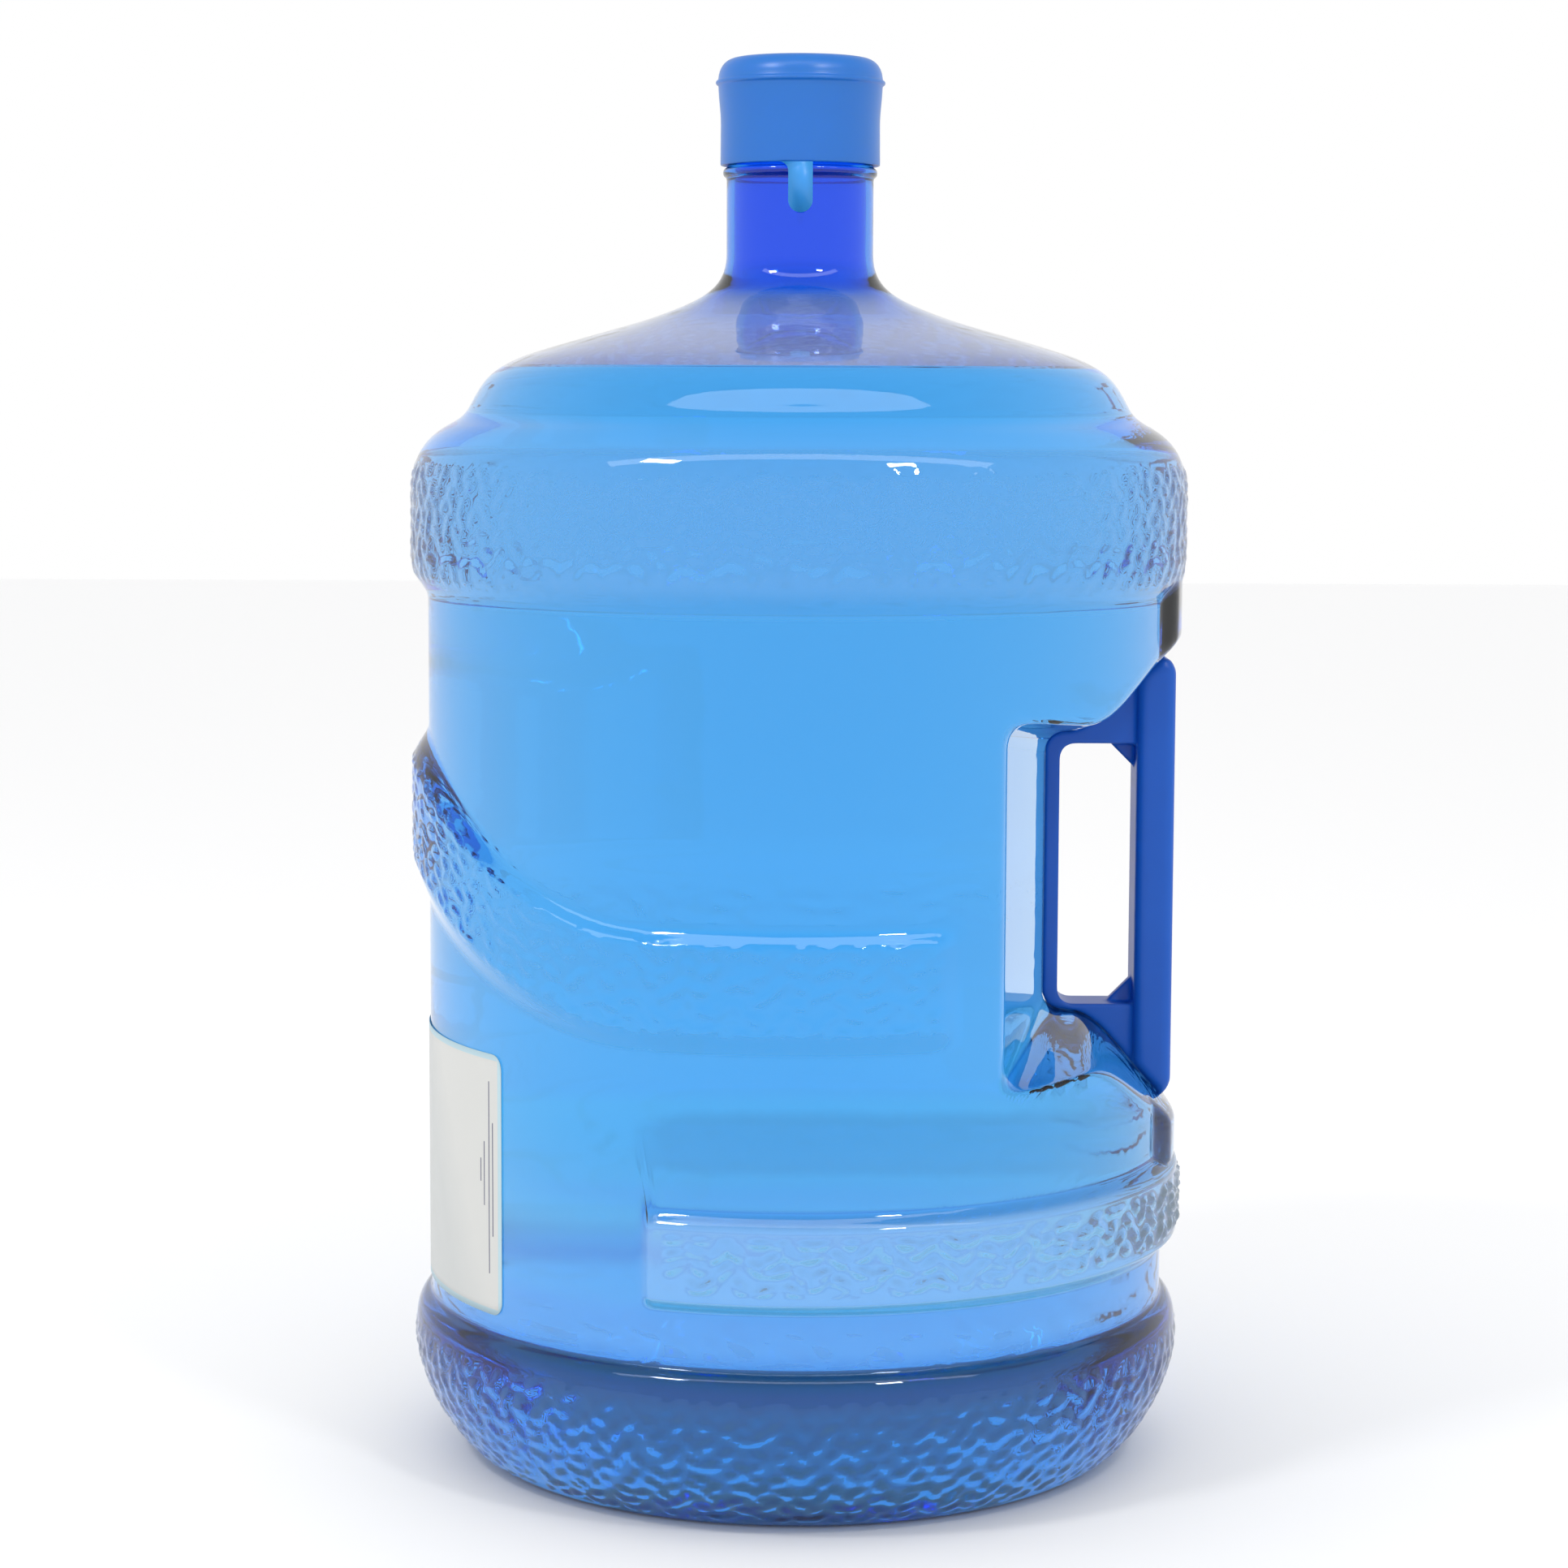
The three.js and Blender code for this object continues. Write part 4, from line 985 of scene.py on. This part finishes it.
def shell_material():
    """Blow-moulded tinted polycarbonate: deeper at the neck, where the wall is thick, and deeper on the base
    band, with painted shade in a dark line along the band's step to the barrel.
    """
    material, shader = new_material("polycarbonate_tint_and_painted_shade", {"IOR": SHELL_IOR})
    coordinates = object_coordinates(material)
    height = add_node(material, "ShaderNodeMapRange", {"From Max": LIP_Z * MM})
    link(material, split(material, coordinates)["Z"], height.inputs[0])
    ramp = add_node(material, "ShaderNodeValToRGB")
    link(material, height.outputs[0], ramp.inputs[0])
    stops = ramp.color_ramp.elements
    # tint by height: the dark stop at 50 mm is painted shade along the base band's step; the neck's deep
    # stops follow its thicker wall
    tint_stops_with_painted_shade = (
        (0.0, (0.26, 0.50, 0.90)),
        (44.0, (0.24, 0.46, 0.88)),
        (50.0, (0.12, 0.26, 0.70)),
        (56.0, (0.22, 0.40, 0.82)),
        (64.0, (0.60, 0.69, 0.93)),
        (74.0, (0.60, 0.69, 0.93)),
        (80.0, (0.60, 0.80, 0.94)),
        (108.0, (0.60, 0.80, 0.94)),
        (114.0, (0.60, 0.69, 0.93)),
        (396.0, (0.62, 0.70, 0.93)),
        (404.0, (0.45, 0.58, 0.92)),
        (412.0, (0.10, 0.33, 0.91)),
        (420.0, (0.03, 0.26, 0.93)),
        (484.0, (0.03, 0.26, 0.93)),
    )
    while len(stops) < len(tint_stops_with_painted_shade):
        stops.new(1.0)
    for stop, (z, colour) in zip(stops, tint_stops_with_painted_shade):
        stop.position = z / LIP_Z
        stop.color = (*colour, 1.0)
    link(material, ramp.outputs[0], shader.inputs["Base Color"])
    frost = add_node(material, "ShaderNodeAttribute", attribute_name="frost")
    clear = add_node(material, "ShaderNodeMapRange", {"To Min": 1.0, "To Max": 0.0})
    link(material, frost.outputs["Fac"], clear.inputs[0])
    link(material, clear.outputs[0], shader.inputs["Transmission Weight"])
    uneven_roughness(material, shader, coordinates, 18.0, 0.0, 0.03)
    fine_bump(material, shader, coordinates, 60.0, 0.12, 0.0006)
    return material


def clear_material(name, tint, ior, roughness=0.0):
    values = {"Base Color": (*tint, 1.0), "IOR": ior, "Roughness": roughness, "Transmission Weight": 1.0}
    return new_material(name, values)[0]


def wet_wall_material():
    """The inside of the wall where it meets water: light turns less there than at air."""
    return clear_material("wet_wall", (0.80, 0.84, 0.965), SHELL_IOR / WATER_IOR)


def painted_shade_floor_material():
    """The floor of the jug, where the plastic is thick; its grey tint is painted shade, standing for the
    shadow under the jug seen through the base.
    """
    return clear_material("painted_shade_floor", (0.48, 0.44, 0.43), SHELL_IOR / WATER_IOR)


def underside_painted_shade_material():
    """The underside, where the plastic is thickest; its near-black tint is painted shade, standing for the
    shadow under the jug.
    """
    return clear_material("thick_painted_shade_base", (0.012, 0.035, 0.14), SHELL_IOR, 0.12)


def water_material(name, ior):
    """Clear at its surface, and blue through its depth."""
    material = clear_material(name, (1.0, 1.0, 1.0), ior)
    blue = {"Color": (0.0, 0.825, 0.996, 1.0), "Density": 9.0}
    absorb = add_node(material, "ShaderNodeVolumeAbsorption", blue)
    link(material, absorb.outputs[0], material.node_tree.nodes["Material Output"].inputs["Volume"])
    return material


def grip_material():
    material, shader = new_material("grip_plastic", {"Transmission Weight": 0.12, "Specular IOR Level": 0.25})
    coordinates = object_coordinates(material)
    noise = uneven_roughness(material, shader, coordinates, 40.0, 0.29, 0.38)
    tint = add_node(material, "ShaderNodeValToRGB")
    tint.color_ramp.elements[0].color = (0.008, 0.100, 0.52, 1)
    tint.color_ramp.elements[1].color = (0.012, 0.125, 0.60, 1)
    link(material, noise.outputs[0], tint.inputs[0])
    link(material, tint.outputs[0], shader.inputs["Base Color"])
    fine_bump(material, shader, coordinates, 900.0, 0.06, 0.0003)
    return material


def calculate(material, operation, first, second, third=0.0):
    """A Math node's result. Each of the three may be a socket or a number."""
    node = add_node(material, "ShaderNodeMath", operation=operation)
    for socket, value in zip(node.inputs, (first, second, third)):
        if isinstance(value, float):
            socket.default_value = value
        else:
            link(material, value, socket)
    return node.outputs[0]


def mixed(material, share, under, over):
    """Two colours mixed by a share. The lower one may be a socket or a colour."""
    node = add_node(material, "ShaderNodeMixRGB")
    link(material, share, node.inputs[0])
    if isinstance(under, tuple):
        node.inputs[1].default_value = (*under, 1.0)
    else:
        link(material, under, node.inputs[1])
    node.inputs[2].default_value = (*over, 1.0)
    return node.outputs[0]


def label_material():
    """Cream film with a pale blue border, a soft grey sweep and a few plain rules."""
    material, shader = new_material("label_film")
    coordinates = object_coordinates(material)
    place = split(material, add_node(material, "ShaderNodeUVMap", uv_map="print").outputs[0])
    across, up = place["X"], place["Y"]
    length = 2 * math.radians(LABEL_HALF_ANGLE) * (BARREL_RADIUS + LABEL_GAP) / PRINT_SCALE
    height = (label_high[2] - label_low[2]) / PRINT_SCALE
    middle = calculate(material, "SUBTRACT", across, length / 2)
    from_middle = calculate(material, "ABSOLUTE", middle, 0.0)
    slant = calculate(material, "MULTIPLY_ADD", up, SWEEP_LEAN, from_middle)
    cloud = add_node(material, "ShaderNodeTexNoise", {"Scale": 26.0, "Detail": 3.0})
    link(material, coordinates, cloud.inputs["Vector"])
    wavy = calculate(material, "MULTIPLY_ADD", cloud.outputs[0], 0.12, slant)
    fade = {"From Min": 0.70, "From Max": 0.94, "To Min": 0.8, "To Max": 0.0}
    sweep = add_node(material, "ShaderNodeMapRange", fade)
    link(material, wavy, sweep.inputs[0])
    colour = mixed(material, sweep.outputs[0], (0.63, 0.635, 0.615), (0.54, 0.56, 0.555))
    for place_across, low, high in LABEL_RULES:
        middle, half = (low + high) / 2 / PRINT_SCALE, (high - low) / 2 / PRINT_SCALE
        along = calculate(material, "COMPARE", up, middle, half)
        middle, half = place_across / PRINT_SCALE, RULE_WIDTH / 2 / PRINT_SCALE
        beside = calculate(material, "COMPARE", across, middle, half)
        rule = calculate(material, "MULTIPLY", beside, along)
        colour = mixed(material, rule, colour, (0.06, 0.06, 0.14))
    end_gap = calculate(material, "SUBTRACT", length / 2, from_middle)
    from_centre = calculate(material, "ABSOLUTE", calculate(material, "SUBTRACT", up, height / 2), 0.0)
    side_gap = calculate(material, "SUBTRACT", height / 2, from_centre)
    gap = calculate(material, "MINIMUM", end_gap, side_gap)
    border = calculate(material, "LESS_THAN", gap, LABEL_BORDER / PRINT_SCALE)
    colour = mixed(material, border, colour, (0.46, 0.63, 0.70))
    link(material, colour, shader.inputs["Base Color"])
    uneven_roughness(material, shader, coordinates, 120.0, 0.35, 0.5)
    fine_bump(material, shader, coordinates, 1400.0, 0.05, 0.0002)
    return material


def cap_material(name, colour, see_through):
    """Milky moulded polyethylene."""
    values = {"Base Color": (*colour, 1.0), "Transmission Weight": see_through, "IOR": 1.5}
    material, shader = new_material(name, values)
    coordinates = object_coordinates(material)
    uneven_roughness(material, shader, coordinates, 60.0, 0.29, 0.38)
    fine_bump(material, shader, coordinates, 240.0, 0.03, 0.0003)
    return material


def liner_material():
    material, shader = new_material("liner_foam", {"Base Color": (0.85, 0.86, 0.84, 1)})
    uneven_roughness(material, shader, object_coordinates(material), 200.0, 0.7, 0.9)
    return material


# ---- stage, light and camera


def stage():
    bpy.ops.mesh.primitive_plane_add(size=12)
    floor = bpy.context.object
    floor.name = "floor"
    values = {"Base Color": (0.975, 0.975, 0.98, 1), "Roughness": 0.7, "Specular IOR Level": 0.1}
    floor.data.materials.append(new_material("floor", values)[0])
    floor.location.z = -0.0004


def surroundings():
    """A white room. Seen in glossy surfaces and through clear ones, it darkens overhead."""
    world = bpy.data.worlds.new("studio")
    bpy.context.scene.world = world
    world.use_nodes = True
    nodes, links = world.node_tree.nodes, world.node_tree.links
    back = nodes["Background"]
    back.inputs["Color"].default_value = (1, 1, 1, 1)
    where = nodes.new("ShaderNodeTexCoord")
    apart = nodes.new("ShaderNodeSeparateXYZ")
    links.new(where.outputs["Generated"], apart.inputs[0])
    dusk = nodes.new("ShaderNodeMapRange")
    for name, value in (("From Min", 0.15), ("From Max", 0.8), ("To Min", 0.95), ("To Max", 0.45)):
        dusk.inputs[name].default_value = value
    links.new(apart.outputs["Z"], dusk.inputs["Value"])
    rays = nodes.new("ShaderNodeLightPath")
    strength = nodes.new("ShaderNodeMix")
    strength.inputs["A"].default_value = 1.0
    links.new(rays.outputs["Is Glossy Ray"], strength.inputs["Factor"])
    links.new(dusk.outputs[0], strength.inputs["B"])
    links.new(strength.outputs["Result"], back.inputs["Strength"])


def softbox(name, azimuth, elevation, distance, size, power):
    """An area light aimed at the jug. Azimuth is in degrees from -Y towards +X."""
    data = bpy.data.lights.new(name, "AREA")
    data.shape = "RECTANGLE"
    data.size, data.size_y = size
    data.energy = power
    lamp = bpy.data.objects.new(name, data)
    bpy.context.scene.collection.objects.link(lamp)
    turn, lift = math.radians(azimuth), math.radians(elevation)
    away = Vector((math.sin(turn) * math.cos(lift), -math.cos(turn) * math.cos(lift), math.sin(lift)))
    target = Vector((0, 0, 0.25))
    lamp.location = target + away * distance
    lamp.rotation_euler = (-away).to_track_quat("-Z", "Y").to_euler()
    return lamp


CAMERA_PLACE = (-0.00485, -1.310, 0.376)  # metres
CAMERA_DOWN = 6.07  # degrees
CAMERA_ROLL = 0.22


def camera():
    data = bpy.data.cameras.new("camera")
    data.lens = 85
    data.sensor_width = 36
    data.clip_start = 0.05
    thing = bpy.data.objects.new("camera", data)
    bpy.context.scene.collection.objects.link(thing)
    tilt = Matrix.Rotation(math.radians(90 - CAMERA_DOWN), 4, "X")
    roll = Matrix.Rotation(math.radians(CAMERA_ROLL), 4, "Z")
    thing.matrix_world = Matrix.Translation(CAMERA_PLACE) @ tilt @ roll
    bpy.context.scene.camera = thing


def light_paths():
    """A look through the jug crosses many clear surfaces, so light needs more bounces than usual."""
    cycles = bpy.context.scene.cycles
    cycles.max_bounces = 32
    cycles.transmission_bounces = 32
    cycles.transparent_max_bounces = 16


# ---- the object put together


def place_piece(piece, body, node, material=None):
    if material:
        piece.data.materials.append(material)
    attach(piece, body)
    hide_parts(node)


camera()
stage()
surroundings()
softbox("left_softbox", -48, 46, 1.7, (0.26, 0.16), 5)
softbox("right_softbox", 34, 44, 1.7, (0.2, 0.12), 3.5)
overhead = softbox("overhead_softbox", 0, 60, 1.7, (3.4, 0.3), 8)
overhead.visible_diffuse = False
overhead.visible_transmission = False
bpy.context.scene.view_settings.view_transform = "Standard"
light_paths()

angles = np.arange(COLUMNS) * 2 * math.pi / COLUMNS
skin = skin_grid(angles)
normals = grid_normals(skin)

place_piece(jug_shell(skin, normals, angles), "jug", "jug_body")
place_piece(water_body(skin, normals), "jug", "water_fill")
place_piece(grip(), "jug", "handle_insert", grip_material())
place_piece(label_film(), "jug", "label", label_material())
cap_milk = cap_material("cap_plastic", (0.022, 0.31, 0.93), 0.55)
place_piece(cap_shell(), "cap", "cap_shell", cap_milk)
place_piece(cap_liner(), "cap", "cap_liner", liner_material())
tab_milk = cap_material("tab_plastic", (0.05, 0.42, 0.98), 0.3)
place_piece(tab(), "tab", "pull_tab", tab_milk)
